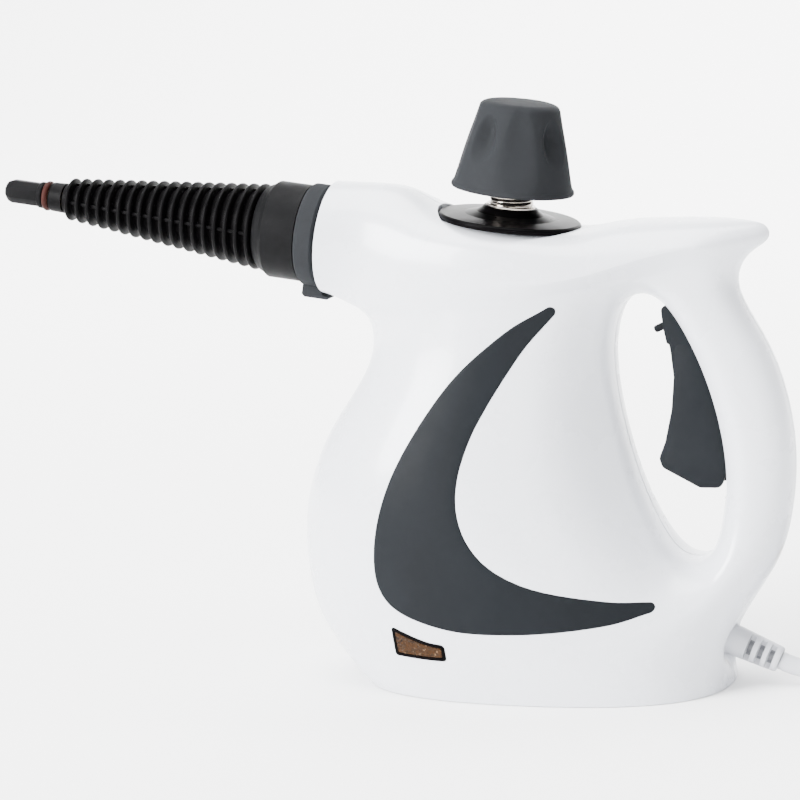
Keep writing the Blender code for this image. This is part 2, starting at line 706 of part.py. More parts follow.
def make_electrics():
    element = [(21 * math.cos(math.radians(a)), 21 * math.sin(math.radians(a)), BOILER_BOTTOM_H - 3.6)
               for a in range(20, 341, 16)]
    start, end = element[0], element[-1]
    tube("heating_element", [(start[0] + 6, start[1] + 1, start[2] - 2), *element,
                             (end[0] + 6, end[1] - 1, end[2] - 2)], 3.2, STEEL, FILLER_AXIS)
    turned("thermostat",
           [(0, BOILER_BOTTOM_H - 0.4), (9, BOILER_BOTTOM_H - 0.4), (9, BOILER_BOTTOM_H - 7),
            (5, BOILER_BOTTOM_H - 9), (0, BOILER_BOTTOM_H - 9)], STEEL, FILLER_AXIS)
    fuse = cylinder("thermal_fuse", 2.2, 0, 12, STEEL, steps=12)
    fuse.location = mm(68, 8, 40)
    box("terminal_block", (18, 16, 12), (99.4, 0, 9.2), DARK_GREY, bevel=1.0)
    box("cord_clamp", (6, 18, 5), (121, 0, 21.5), DARK_GREY, bevel=0.8)


def make_steam_path():
    body = box("valve_body", (18, 15, 12), (86, 0, 161), BRASS, bevel=1.0)
    boolean(body, along_x(cylinder("valve_bore", 2.3, -10, 12, None), (86, 0, PLUNGER_Z)))
    plunger = turned("valve_plunger",
                     [(0, 37.5), (1.8, 37.5), (1.8, 29.0), (4.4, 29.0), (4.4, 27.5), (1.8, 27.5),
                      (1.8, 0), (0, 0)], BRASS)
    along_x(plunger, (80, 0, PLUNGER_Z))
    spring = tube("valve_spring", helix(3.2, 0.9, 9.8, 4), 0.45, STEEL, resolution=0)
    along_x(spring, (96.2, 0, PLUNGER_Z))
    inlet = [(60, 16, 121), (66, 17, 130), (76, 11, 142), (80.6, 2, 149), (81, 0, 152.4), (81, 0, 154.6)]
    outlet = [(76.2, 3.5, 163.3), (72.2, 3.5, 163.3), (65.5, 11, 164), (50, 18, 165), (30, 16, 166.6),
              (14, 6, 167.6), (2.6, 0, 169.4)]
    tube("steam_inlet_pipe", smooth_route(inlet, 6), PIPE_RADIUS, BRASS)
    tube("steam_outlet_pipe", smooth_route(outlet, 7), PIPE_RADIUS, BRASS)


def make_nozzle():
    turned("nozzle_socket",
           [(12.6, 30.4), (14.6, 30.4), (14.6, 22.7), (17.4, 22.7), (17.4, 12.0), (6.0, 12.0), (6.0, 0.0),
            (2.0, 0.0), (2.0, 14.5), (12.6, 14.5)], BLACK, NOZZLE_AXIS, closed=True)
    ring = turned("lock_ring",
                  [(15.0, 30.9), (19.3, 30.9), (RING_RADIUS, 30.2), (RING_RADIUS, 23.8), (19.3, 23.1),
                   (15.0, 23.1)], MID_GREY, NOZZLE_AXIS, closed=True, steps=24)
    tab = box("ring_tab", (6.4, 8, 9.0), (-21.2, 0, 26.4), None, NOZZLE_AXIS, bevel=1.0)
    boolean(ring, tab, "UNION")
    boolean(ring, cylinder("ring_bore", 15.0, 10, 40, None, NOZZLE_AXIS, steps=24))
    turned("nozzle_base",
           [(3.5, 49.6), (15.6, 49.6), (16.6, 48.4), (17.6, 46.2), (NOZZLE_BASE_RADIUS, 44.6),
            (NOZZLE_BASE_RADIUS, 31.3), (12.1, 31.3), (12.1, 15.2), (3.5, 15.2)],
           BLACK, NOZZLE_AXIS, closed=True, steps=24)
    profile = []
    for i in reversed(range(RIB_COUNT)):
        s = RIB_FIRST_S + RIB_PITCH * i
        crest = RIB_LARGE_RADIUS + (RIB_SMALL_RADIUS - RIB_LARGE_RADIUS) * i / (RIB_COUNT - 1)
        root = crest - RIB_DEPTH
        profile += [(crest, s + 0.6), (crest, s - 0.6), (root, s - 1.4)]
    profile = [(4.4, 134.2), (5.4, 134.2), (5.6, 132.5), *profile, (4.4, RIB_FIRST_S - 1.4)]
    turned("ribbed_cone", profile, BLACK, NOZZLE_AXIS, closed=True)
    turned("nozzle_tube", [(2.1, 143.0), (TUBE_RADIUS, 143.0), (TUBE_RADIUS, 15.6), (2.1, 15.6)],
           BRASS, NOZZLE_AXIS, closed=True, steps=12)
    turned("nozzle_collar", [(3.5, 140.4), (5.3, 140.4), (5.7, 139.6), (5.9, 134.6), (3.5, 134.6)],
           BLACK, NOZZLE_AXIS, closed=True)
    ring_points = [(4.75 + 1.2 * math.cos(math.radians(-a)), 141.95 + 1.2 * math.sin(math.radians(-a)))
                   for a in range(0, 360, 60)]
    turned("tip_o_ring", ring_points, SILICONE_RED, NOZZLE_AXIS, closed=True)
    tip = turned("nozzle_tip",
                 [(1.2, 160.1), (2.9, 160.1), (4.2, 159.0), (4.9, 157.2), (4.9, 145.2), (4.4, 143.5),
                  (1.2, 143.5)],
                 DARK_GREY, NOZZLE_AXIS, closed=True, steps=8)
    tip.rotation_euler = (0.0, 0.0, math.radians(22.5))


def knob_radius(height, turn):
    """The cap's outer radius: a bell with scooped finger flutes that fade out at its rim and its top."""
    share = (height - CAP_BOTTOM_H) / (CAP_TOP_H - CAP_BOTTOM_H)
    bell = 22.9 - 2.4 * share - 6.4 * share**3 - 1.0 * share**9
    fade = math.sin(math.pi * min(1.0, max(0.0, (share - 0.08) / 0.92))) ** 0.6
    scoop = (0.5 - 0.5 * math.cos(CAP_FLUTES * turn)) ** 1.4
    return bell - 2.6 * fade * (1 - scoop)


def make_cap():
    segments = 32
    heights = [CAP_BOTTOM_H + 3.2 + (CAP_TOP_H - 1.2 - CAP_BOTTOM_H - 3.2) * i / 6 for i in range(7)]
    rings = [lambda a: 14.2, lambda a: 14.2, lambda a: CAP_RIM_RADIUS - 0.5, lambda a: CAP_RIM_RADIUS]
    levels = [39.6, CAP_BOTTOM_H, CAP_BOTTOM_H, CAP_BOTTOM_H + 0.7]
    rings.append(lambda a: CAP_RIM_RADIUS - 0.4)
    levels.append(CAP_BOTTOM_H + 2.6)
    for height in heights:
        rings.append(lambda a, h=height: knob_radius(h, a))
        levels.append(height)
    rings.append(lambda a: knob_radius(CAP_TOP_H - 1.2, a) - 2.6)
    levels.append(CAP_TOP_H)
    work = bmesh.new()
    grid = []
    for radius, level in zip(rings, levels):
        line = []
        for i in range(segments):
            turn = 2 * math.pi * i / segments
            reach = radius(turn)
            line.append(work.verts.new(mm(reach * math.cos(turn), reach * math.sin(turn), level)))
        grid.append(line)
    for low, high in zip(grid, grid[1:]):
        for i in range(segments):
            j = (i + 1) % segments
            work.faces.new((low[i], low[j], high[j], high[i]))
    work.faces.new(grid[-1])
    work.faces.new(grid[0][::-1])
    bmesh.ops.recalc_face_normals(work, faces=work.faces)
    mesh = bpy.data.meshes.new("cap_knob")
    work.to_mesh(mesh)
    work.free()
    smooth(put("cap_knob", mesh, MID_GREY, FILLER_AXIS), 50)
    turned("cap_insert",
           [(0, 30.8), (13.2, 30.8), (13.2, 12.0), (9.3, 12.0), (9.3, 28.6), (0, 28.6)],
           MID_GREY, FILLER_AXIS)
    turned("cap_seal", [(0, 28.3), (8.9, 28.3), (8.9, NECK_TOP_H + GAP), (0, NECK_TOP_H + GAP)],
           SILICONE_RED, FILLER_AXIS)
    tube("cap_spring", helix(6.0, 32.0, 38.6, 3), 0.6, STEEL, FILLER_AXIS, resolution=0)


TRIGGER_OUTLINE = ((112.6, 147.2), (110.8, 145.6), (111.6, 138.6), (113.6, 129.5), (114.7, 119.3),
                   (113.4, 106.8), (110.4, 94.4), (107.9, 88.4), (109.0, 84.8), (123.3, 77.2),
                   (128.4, 77.2), (130.4, 84.0), (129.4, 100.0), (126.0, 118.0), (123.8, 132.0),
                   (124.6, 140.0), (124.2, 161.5), (118.0, 161.5), (118.0, 147.4))


def make_trigger():
    px, _, pz = TRIGGER_PIVOT
    outline = [(x - px, z - pz) for x, z in TRIGGER_OUTLINE]
    trigger = flat_plate("trigger", [outline], 2 * TRIGGER_HALF_WIDTH, DARK_GREY, TRIGGER_AXIS)
    trigger.rotation_euler = (math.pi / 2, 0.0, 0.0)
    trigger.location = (0.0, 0.0, 0.0)
    arm_sides = [box(f"arm_side_{word}", (20, 10, 30), (0, side * 8.5, 15.4 + 5.4), None, TRIGGER_AXIS)
                 for side, word in ((-1, "left"), (1, "right"))]
    pin_bore = across(cylinder("pin_bore", 1.8, -12, 12, None, TRIGGER_AXIS), (0, 0, 0))
    lock_bore = along_x(cylinder("lock_bore", 1.8, -20, -1.5, None, TRIGGER_AXIS), (0, 0, -4.6))
    for cutter in (*arm_sides, pin_bore, lock_bore):
        boolean(trigger, cutter)
    across(cylinder("trigger_pin", 1.5, -8.5, 8.5, STEEL, TRIGGER_AXIS), (0, 0, 0))
    lock = turned("trigger_lock", [(0, -4.9), (1.5, -4.9), (1.5, -13.2), (1.0, -14.2), (0, -14.2)],
                  DARK_GREY, TRIGGER_AXIS)
    along_x(lock, (0, 0, -4.6))
    bracket = box("trigger_bracket", (13, 17.0, 12), (5.5, 0, 1.5), STEEL, TRIGGER_AXIS)
    boolean(bracket, box("bracket_gap", (24, 15.6, 20), (-1.6, 0, 1.5), None, TRIGGER_AXIS))
    boolean(bracket, across(cylinder("bracket_bore", 1.8, -12, 12, None, TRIGGER_AXIS), (0, 0, 0)))
    spring = tube("trigger_spring", helix(3.4, 0.9, 21.4, 6), 0.5, STEEL, resolution=0)
    along_x(spring, (130.0, 0, 96))


def make_lead():
    relief = [(0, RELIEF_LENGTH), (3.8, RELIEF_LENGTH), (4.7, RELIEF_LENGTH - 1.0)]
    for s in (20.4, 16.4, 12.4):
        relief += [(4.75, s + 0.9), (4.2, s + 0.6), (4.2, s - 0.6), (4.9, s - 0.9)]
    relief += [(5.5, 6.5), (5.5, 0), (0, 0)]
    turned("strain_relief", relief, PVC, RELIEF_AXIS)
    drop = Vector((math.cos(RELIEF_TILT), 0.0, -math.sin(RELIEF_TILT)))
    start = Vector(RELIEF_ROOT) + drop * (RELIEF_LENGTH + GAP)
    z_coil = COIL_BOTTOM_Z + CORD_RADIUS
    lead = as_mesh_object(tube("cord", smooth_route(
        [start, start + drop * 5, (163.5, 0, 5.6), (172, 0, 3.8), (183, 0, 3.9), (193, 0, z_coil)], 6.0),
        CORD_RADIUS, PVC))
    coil = turned("cord_coil",
                  [(COIL_INNER_RADIUS + 3, COIL_HEIGHT), (COIL_OUTER_RADIUS - 3, COIL_HEIGHT),
                   (COIL_OUTER_RADIUS, COIL_HEIGHT - 3), (COIL_OUTER_RADIUS, 3), (COIL_OUTER_RADIUS - 3, 0),
                   (COIL_INNER_RADIUS + 3, 0), (COIL_INNER_RADIUS, 3), (COIL_INNER_RADIUS, COIL_HEIGHT - 3)],
                  PVC, closed=True, steps=28)
    coil.location = mm(*COIL_CENTRE, COIL_BOTTOM_Z)
    keep_out = cylinder("coil_keep_out", COIL_OUTER_RADIUS + GAP, -10, 60, None, steps=64)
    keep_out.location = mm(*COIL_CENTRE, 0)
    boolean(lead, keep_out)
    middle = (COIL_INNER_RADIUS + COIL_OUTER_RADIUS) / 2
    low, high = COIL_BOTTOM_Z, COIL_BOTTOM_Z + COIL_HEIGHT
    reach = (COIL_OUTER_RADIUS - COIL_INNER_RADIUS) / 2
    inner = [(-reach - 1.0, low - 0.25), (reach + 0.4, low - 0.25), (reach + 0.4, high + 0.3),
             (-reach - 1.0, high + 0.3)]
    outer = [(-reach - 1.7, low - 0.85), (reach + 1.1, low - 0.85), (reach + 1.1, high + 1.0),
             (-reach - 1.7, high + 1.0)]
    tie = flat_plate("coil_tie", [outer, inner], 12, RUBBER)
    tie.rotation_euler.z = math.pi
    tie.location = mm(COIL_CENTRE[0] - middle, COIL_CENTRE[1], 0)
    make_plug(keep_out)


def make_plug(keep_out):
    """The lead's last stretch leaves the top of the coil, comes down beside it and ends in the plug."""
    x, y = COIL_CENTRE
    top = COIL_BOTTOM_Z + COIL_HEIGHT - CORD_RADIUS
    far = COIL_OUTER_RADIUS - CORD_RADIUS
    middle = PLUG_HEIGHT / 2
    side = x + far
    tail = as_mesh_object(tube("cord_tail", smooth_route(
        [(side, y - 16, top), (side + 0.6, y - 2, top - 0.4), (side + 3.4, y + 14, top - 5),
         (side + 4.6, y + 30, top - 13), (side - 1, y + 50, middle - 1), (side - 15, y + 63.5, middle - 0.5),
         (side - 30, y + 68, middle), (side - 38, y + 68, middle)], 6.0), CORD_RADIUS, PVC))
    boolean(tail, keep_out)
    plug_x, plug_y = side - 38 - GAP, y + 68
    profile = [(0, 0), (4.6, 0), (5.4, -14), (10.5, -19), (12.0, -24), (12.0, -42), (11, -43.5), (0, -43.5)]
    body = turned("plug_body", profile, PVC)
    body.rotation_euler = (0.0, math.pi / 2, 0.0)
    body.scale = (PLUG_HEIGHT / 24, 1.0, 1.0)
    body.location = mm(plug_x, plug_y, PLUG_HEIGHT / 2 + 0.05)
    for i, offset in enumerate((-6.35, 6.35)):
        box(f"plug_blade_{i + 1}", (16, 1.5, 6.3), (plug_x - 43.8 - 8, plug_y + offset, PLUG_HEIGHT / 2),
            BRASS, bevel=0.4)


SKIN_TREE = make_skin_tree()
make_shells()
make_crescents()
make_window()
make_base()
make_shell_screws()
make_filler()
make_boiler()
make_electrics()
make_steam_path()
make_nozzle()
make_cap()
make_trigger()
make_lead()
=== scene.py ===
"""Looks of a hand-held wallpaper steamer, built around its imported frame: glossy white half shells with dark
crescent panels, a dented filler cap, a ribbed nozzle, a trigger grip and a mains lead wound beside it."""

import math

import bmesh
import bpy
from mathutils import Matrix, Vector
from mathutils.bvhtree import BVHTree


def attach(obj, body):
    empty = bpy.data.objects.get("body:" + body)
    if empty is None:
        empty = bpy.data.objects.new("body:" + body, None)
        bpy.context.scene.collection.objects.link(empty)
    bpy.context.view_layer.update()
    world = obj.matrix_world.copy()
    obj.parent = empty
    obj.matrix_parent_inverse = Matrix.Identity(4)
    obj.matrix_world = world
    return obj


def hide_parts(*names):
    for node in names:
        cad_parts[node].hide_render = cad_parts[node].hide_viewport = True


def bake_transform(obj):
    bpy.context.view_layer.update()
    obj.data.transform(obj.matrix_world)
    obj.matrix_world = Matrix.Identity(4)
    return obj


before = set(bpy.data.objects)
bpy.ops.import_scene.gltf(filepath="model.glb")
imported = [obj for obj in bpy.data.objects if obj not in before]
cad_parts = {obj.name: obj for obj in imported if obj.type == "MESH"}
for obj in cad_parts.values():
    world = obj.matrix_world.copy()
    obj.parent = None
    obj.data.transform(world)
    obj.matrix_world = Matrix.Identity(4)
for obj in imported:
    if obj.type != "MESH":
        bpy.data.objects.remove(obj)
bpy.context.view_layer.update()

MM = 0.001
TILT = math.radians(8.3)
NOZZLE_ROOT = (0.0, 0.0, 169.8)
FILLER_TOP = (51.1, 0.0, 179.8)
RELIEF_ROOT = (128.0, 0.0, 18.6)
RELIEF_TILT = math.radians(22.6)


def mm(*values):
    return Vector(values) * MM


def axis_at(place, angle, about="Y"):
    """A frame in millimetres at a place, turned about an axis. About Y, its +Z leans from the vertical to +X."""
    return Matrix.Translation(mm(*place)) @ Matrix.Rotation(angle, 4, about) @ Matrix.Scale(MM, 4)


def polar(place, radius, turn, height):
    return place @ Vector((radius * math.cos(turn), radius * math.sin(turn), height))


def ring_at(place, radius, height, steps):
    """Points about +Z of a frame. The radius is a number, or a function of the angle."""
    turns = [2 * math.pi * i / steps for i in range(steps)]
    return [polar(place, radius(turn) if callable(radius) else radius, turn, height) for turn in turns]


def linked(name, data):
    obj = bpy.data.objects.new(name, data)
    bpy.context.scene.collection.objects.link(obj)
    return obj


def share(value):
    """The value, kept between 0 and 1."""
    return min(1.0, max(0.0, value))


WORLD = Matrix.Scale(MM, 4)
NOZZLE = axis_at(NOZZLE_ROOT, TILT - math.pi / 2)
FILLER = axis_at(FILLER_TOP, TILT)
RELIEF = axis_at(RELIEF_ROOT, math.pi / 2 + RELIEF_TILT)

# Camera: at the side, a little to the rear of it and above, with a long lens.

CAMERA_AZIMUTH = math.radians(19.1)
CAMERA_ELEVATION = math.radians(10.1)
CAMERA_ROLL = math.radians(3.0)
CAMERA_DISTANCE = 1.298
CAMERA_LENS = 150.0
CAMERA_TARGET = Vector((0.003, 0.0, 0.1086))


def make_camera():
    azimuth, elevation, roll = CAMERA_AZIMUTH, CAMERA_ELEVATION, CAMERA_ROLL
    level = math.cos(elevation)
    back = Vector((math.sin(azimuth) * level, -math.cos(azimuth) * level, math.sin(elevation)))
    right = Vector((math.cos(azimuth), math.sin(azimuth), 0.0))
    up = back.cross(right)
    across = right * math.cos(roll) - up * math.sin(roll)
    upright = right * math.sin(roll) + up * math.cos(roll)
    data = bpy.data.cameras.new("camera")
    data.lens = CAMERA_LENS
    data.sensor_width = 36.0
    data.clip_start = 0.05
    data.clip_end = 50.0
    camera = linked("camera", data)
    facing = Matrix((across, upright, back)).transposed().to_4x4()
    camera.matrix_world = Matrix.Translation(CAMERA_TARGET + back * CAMERA_DISTANCE) @ facing
    bpy.context.scene.camera = camera


# Materials.

COAT_ROUGHNESS = 0.05
GLOSS_FINER = 2.3  # how much finer the uneven gloss is than the uneven tone
WEAR_FINER = 6.0
WORN_EDGES = (0.52, 0.62)  # the pointiness where wear starts, and where it is full
SCRATCH_SCALE = 260.0
SCRATCH_STRETCH = (0.15, 1.0, 1.0)
SCRATCH_TURN = (0.3, 0.5, 0.9)
SCRATCH_DEPTH = 0.00003
LENS_CELL_SCALE = 1300.0
LENS_BLOTCH_SCALE = 260.0
LENS_TONES = ((0.05, (0.004, 0.0015, 0.0006)), (0.35, (0.014, 0.0056, 0.0012)), (0.62, (0.031, 0.0120, 0.0025)),
              (0.82, (0.018, 0.0095, 0.004)), (0.97, (0.10, 0.055, 0.028)))


def feed(node, *ordered, **named):
    """Set a node's inputs, or link them to outputs: the first in order, others by name with _ for a space."""
    sockets = [*zip(node.inputs, ordered)] + [(node.inputs[key.replace("_", " ")], named[key]) for key in named]
    for socket, value in sockets:
        if isinstance(value, bpy.types.NodeSocket):
            node.id_data.links.new(value, socket)
        else:
            socket.default_value = value
    return node


def blank_material(name):
    """A material, its shader, and functions that add any node, or a Math node's result."""
    material = bpy.data.materials.new(name)
    material.use_nodes = True
    nodes = material.node_tree.nodes

    def add(kind, *ordered, **named):
        return feed(nodes.new(kind), *ordered, **named)

    def maths(operation, *operands):
        node = add("ShaderNodeMath", *operands)
        node.operation = operation
        return node.outputs[0]
    return material, nodes["Principled BSDF"], add, maths


def surface(name, colour, roughness, metallic=0.0, tone=0.06, tone_scale=40.0, grain_scale=1400.0,
            grain=0.1, grain_depth=0.00006, gloss_spread=0.06, scratches=0.0, wear=0.0, wear_colour=None,
            specular=0.5, coat=0.0):
    """A moulded or metal surface: uneven tone and gloss, a fine grain, faint scratches and rubbed edges."""
    material, shader, add, maths = blank_material(name)
    place = add("ShaderNodeTexCoord").outputs["Object"]

    def noise(scale, detail, rough=0.5, vector=place):
        return add("ShaderNodeTexNoise", Vector=vector, Scale=scale, Detail=detail, Roughness=rough).outputs["Fac"]

    def spread(value, low, high, from_low=0.3, from_high=0.7):
        return add("ShaderNodeMapRange", value, from_low, from_high, low, high).outputs["Result"]

    def mix(factor, first, second):
        node = add("ShaderNodeMix", factor)
        node.data_type = "RGBA"
        coloured = {s.name: s for s in node.inputs if s.type == "RGBA"}
        for socket, value in ((coloured["A"], first), (coloured["B"], second)):
            if isinstance(value, tuple):
                socket.default_value = (*value, 1.0)
            else:
                node.id_data.links.new(value, socket)
        return next(s for s in node.outputs if s.type == "RGBA")

    light = tuple(min(1.0, c * (1 + tone)) for c in colour)
    dark = tuple(c * (1 - tone) for c in colour)
    tint = mix(spread(noise(tone_scale, 4.0), 0.0, 1.0), dark, light)
    gloss = spread(noise(tone_scale * GLOSS_FINER, 5.0, 0.6), roughness - gloss_spread, roughness + gloss_spread)
    if wear:
        edge = spread(add("ShaderNodeNewGeometry").outputs["Pointiness"], 0.0, wear, *WORN_EDGES)
        patchy = spread(noise(tone_scale * WEAR_FINER, 6.0, 0.7), 0.0, 1.0, 0.35, 0.65)
        tint = mix(maths("MULTIPLY", edge, patchy), tint, wear_colour)
    bump = add("ShaderNodeBump", Strength=grain, Distance=grain_depth, Height=noise(grain_scale, 3.0, 0.6))
    if scratches:
        along = add("ShaderNodeMapping", place, Scale=SCRATCH_STRETCH, Rotation=SCRATCH_TURN).outputs["Vector"]
        bump = add("ShaderNodeBump", Strength=scratches, Distance=SCRATCH_DEPTH, Normal=bump.outputs["Normal"],
                   Height=noise(SCRATCH_SCALE, 2.0, vector=along))
    feed(shader, Base_Color=tint, Roughness=gloss, Metallic=metallic, Specular_IOR_Level=specular, Coat_Weight=coat,
         Coat_Roughness=COAT_ROUGHNESS, Normal=bump.outputs["Normal"])
    return material


def lens_material(name):
    """A prismatic amber lens: small facets that differ in tone and tilt under a glossy skin."""
    material, shader, add, maths = blank_material(name)
    place = add("ShaderNodeTexCoord").outputs["Object"]
    cells = add("ShaderNodeTexVoronoi", Vector=place, Scale=LENS_CELL_SCALE)
    blotch = add("ShaderNodeTexNoise", Vector=place, Scale=LENS_BLOTCH_SCALE, Detail=5.0).outputs["Fac"]
    grey = add("ShaderNodeRGBToBW", cells.outputs["Color"]).outputs["Val"]
    ramp = add("ShaderNodeValToRGB", maths("SUBTRACT", maths("MULTIPLY_ADD", grey, 0.75, blotch), 0.35))
    stops = ramp.color_ramp.elements
    first, *between, last = LENS_TONES
    for stop, (position, colour) in ((stops[0], first), (stops[1], last)):
        stop.position, stop.color = position, (*colour, 1.0)
    for position, colour in between:
        stops.new(position).color = (*colour, 1.0)
    bump = add("ShaderNodeBump", Strength=0.8, Distance=0.0003, Height=cells.outputs["Distance"])
    feed(shader, Base_Color=ramp.outputs["Color"], Normal=bump.outputs["Normal"], Roughness=0.22, Coat_Weight=0.15,
         Specular_IOR_Level=0.03)
    return material


MATERIALS = {
    "white_abs": surface("white_gloss_abs", (0.655, 0.675, 0.72), 0.27, tone=0.012, tone_scale=18.0, grain=0.05,
                         grain_scale=420.0, grain_depth=0.00004, gloss_spread=0.05, scratches=0.02, coat=0.25),
    "dark_grey_abs": surface("dark_grey_abs", (0.0068, 0.0079, 0.0094), 0.45, tone=0.08, grain=0.3,
                             grain_scale=2600.0, gloss_spread=0.05, scratches=0.05, wear=0.3,
                             wear_colour=(0.025, 0.027, 0.03), specular=0.05),
    "mid_grey_abs": surface("mid_grey_abs", (0.0156, 0.0166, 0.0182), 0.62, grain=0.3, grain_scale=2400.0,
                            gloss_spread=0.05, scratches=0.05, wear=0.3, wear_colour=(0.03, 0.032, 0.035),
                            specular=0.012),
    "black_nylon": surface("black_nylon", (0.0009, 0.0008, 0.001), 0.45, tone=0.12, grain=0.25, grain_scale=2200.0,
                           gloss_spread=0.08, wear=0.4, wear_colour=(0.008, 0.008, 0.0085), specular=0.04),
    "charcoal_abs": surface("charcoal_abs", (0.0036, 0.0037, 0.0040), 0.5, tone=0.08, grain=0.25,
                            grain_scale=2400.0, wear=0.3, wear_colour=(0.015, 0.015, 0.016), specular=0.03),
    "gloss_black_abs": surface("gloss_black_abs", (0.0015, 0.0013, 0.0015), 0.3, tone=0.1, grain=0.04,
                               grain_scale=300.0, gloss_spread=0.03, scratches=0.06, wear=0.2,
                               wear_colour=(0.008, 0.008, 0.008), specular=0.015),
    "chrome": surface("polished_chrome", (0.34, 0.31, 0.275), 0.16, metallic=1.0, tone=0.02, grain=0.03,
                      grain_scale=900.0, gloss_spread=0.04, scratches=0.1),
    "brass": surface("turned_brass", (0.72, 0.50, 0.22), 0.28, metallic=1.0, tone=0.08, grain=0.15,
                     grain_scale=900.0, gloss_spread=0.08, scratches=0.2),
    "aluminium": surface("cast_aluminium", (0.60, 0.60, 0.61), 0.45, metallic=1.0, tone=0.08, grain=0.5,
                         grain_scale=700.0, grain_depth=0.0001, gloss_spread=0.08),
    "steel": surface("zinc_plated_steel", (0.58, 0.58, 0.56), 0.3, metallic=1.0, tone=0.08, tone_scale=160.0,
                     grain=0.15, grain_scale=1200.0, gloss_spread=0.1, scratches=0.2),
    "red_silicone": surface("red_silicone", (0.022, 0.0054, 0.0038), 0.55, specular=0.08, tone=0.12,
                            tone_scale=220.0, grain=0.3, grain_scale=1600.0, gloss_spread=0.08),
    "black_rubber": surface("black_rubber", (0.010, 0.010, 0.010), 0.7, specular=0.25, tone=0.15, grain=0.4,
                            grain_scale=1500.0, grain_depth=0.0001),
    "amber_lens": lens_material("amber_lens"),
    # A darker grey for the floors of the boot's pockets: painted shade in the recesses.
    "pocket_painted_shade": surface("pocket_painted_shade_pvc", (0.21, 0.215, 0.23), 0.6, tone=0.04, grain=0.2, grain_scale=900.0,
                          specular=0.2),
    "pale_pvc": surface("pale_grey_pvc", (0.52, 0.53, 0.565), 0.45, tone=0.02, grain=0.18, grain_scale=900.0,
                        scratches=0.03),
}


# Mesh tools.


def add_piece(name, shape, slot, body, nodes, sharp=35.0, look=None):
    """A piece from a mesh or a bmesh that stands for CAD nodes, and hides them. It rides a body when one is given.
    Its look is its slot's, or one of its own."""
    mesh = mesh_from(shape, name) if isinstance(shape, bmesh.types.BMesh) else shape
    obj = linked(name, mesh)
    mesh.materials.clear()
    mesh.materials.append(MATERIALS[look or slot])
    mesh.shade_smooth()
    mesh.set_sharp_from_angle(angle=math.radians(sharp))
    if body:
        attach(obj, body)
    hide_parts(*nodes)
    return obj


def plain_mesh(work, name):
    """The mesh of a bmesh as it stands, which ends the bmesh."""
    mesh = bpy.data.meshes.new(name)
    work.to_mesh(mesh)
    work.free()
    return mesh


def mesh_from(work, name):
    bmesh.ops.recalc_face_normals(work, faces=work.faces)
    return plain_mesh(work, name)


def fillet(points, radius, closed=True, segments=3):
    """The outline with its corners rounded."""
    rounded = []
    count = len(points)
    for i, point in enumerate(points):
        here = Vector(point)
        if not closed and i in (0, count - 1):
            rounded.append(tuple(here))
            continue
        before, after = Vector(points[i - 1]), Vector(points[(i + 1) % count])
        back, on = before - here, after - here
        if back.length < 1e-9 or on.length < 1e-9 or back.angle(on) > math.radians(172):
            rounded.append(tuple(here))
            continue
        half = back.angle(on) / 2
        reach = min(radius / math.tan(half), 0.45 * back.length, 0.45 * on.length)
        first, last = here + back.normalized() * reach, here + on.normalized() * reach
        for k in range(segments + 1):
            t = k / segments
            rounded.append(tuple(first * (1 - t) ** 2 + here * 2 * t * (1 - t) + last * t * t))
    return rounded


def lathe(profile, place, steps=96, closed=False):
    """A turned shape about +Z of a frame, from (radius, height) points in millimetres."""
    work = bmesh.new()
    rings = []
    for radius, height in profile:
        points = [place @ Vector((0.0, 0.0, height))] if radius < 1e-6 else ring_at(place, radius, height, steps)
        rings.append([work.verts.new(point) for point in points])
    pairs = list(zip(rings, rings[1:]))
    if closed:
        pairs.append((rings[-1], rings[0]))
    for first, second in pairs:
        for i in range(steps):
            j = (i + 1) % steps
            corners = list(dict.fromkeys((first[i % len(first)], first[j % len(first)],
                                          second[j % len(second)], second[i % len(second)])))
            if len(corners) > 2:
                work.faces.new(corners)
    return work


def skin_grid(work, rows, loop=False, wrap=False):
    """Quads between rows of points. loop joins each row's ends, wrap joins the last row to the first."""
    grid = [[work.verts.new(point) for point in row] for row in rows]
    pairs = list(zip(grid, grid[1:]))
    if wrap:
        pairs.append((grid[-1], grid[0]))
    for low, high in pairs:
        for i in range(len(low) if loop else len(low) - 1):
            j = (i + 1) % len(low)
            work.faces.new((low[i], low[j], high[j], high[i]))
    return grid


def capped_tube(rows):
    """A closed solid through rings of points."""
    work = bmesh.new()
    grid = skin_grid(work, rows, loop=True)
    work.faces.new(grid[0])
    work.faces.new(grid[-1][::-1])
    return work


def prism(outline, low, high, place=WORLD, bevel=None):
    """A straight solid between two levels of Y, from an outline of (x, z) points. bevel is what bevelled takes."""
    work = bmesh.new()
    bottom, top = ([work.verts.new(place @ Vector((u, level, v))) for u, v in outline] for level in (low, high))
    work.faces.new(bottom)
    work.faces.new(top[::-1])
    for i in range(len(outline)):
        j = (i + 1) % len(outline)
        work.faces.new((bottom[j], bottom[i], top[i], top[j]))
    if bevel:
        bevelled(work, *bevel)
    return work


def bevelled(work, width, segments, angle):
    """Round the edges that turn by more than an angle."""
    bmesh.ops.recalc_face_normals(work, faces=work.faces)
    edges = [edge for edge in work.edges if len(edge.link_faces) == 2
             and edge.calc_face_angle(0.0) > math.radians(angle)]
    bmesh.ops.bevel(work, geom=edges, offset=width * MM, segments=segments, profile=0.5, affect="EDGES",
                    clamp_overlap=True)


def append(work, *parts):
    for part in parts:
        bmesh.ops.recalc_face_normals(part, faces=part.faces)
        mesh = plain_mesh(part, "part")
        work.from_mesh(mesh)
        bpy.data.meshes.remove(mesh)


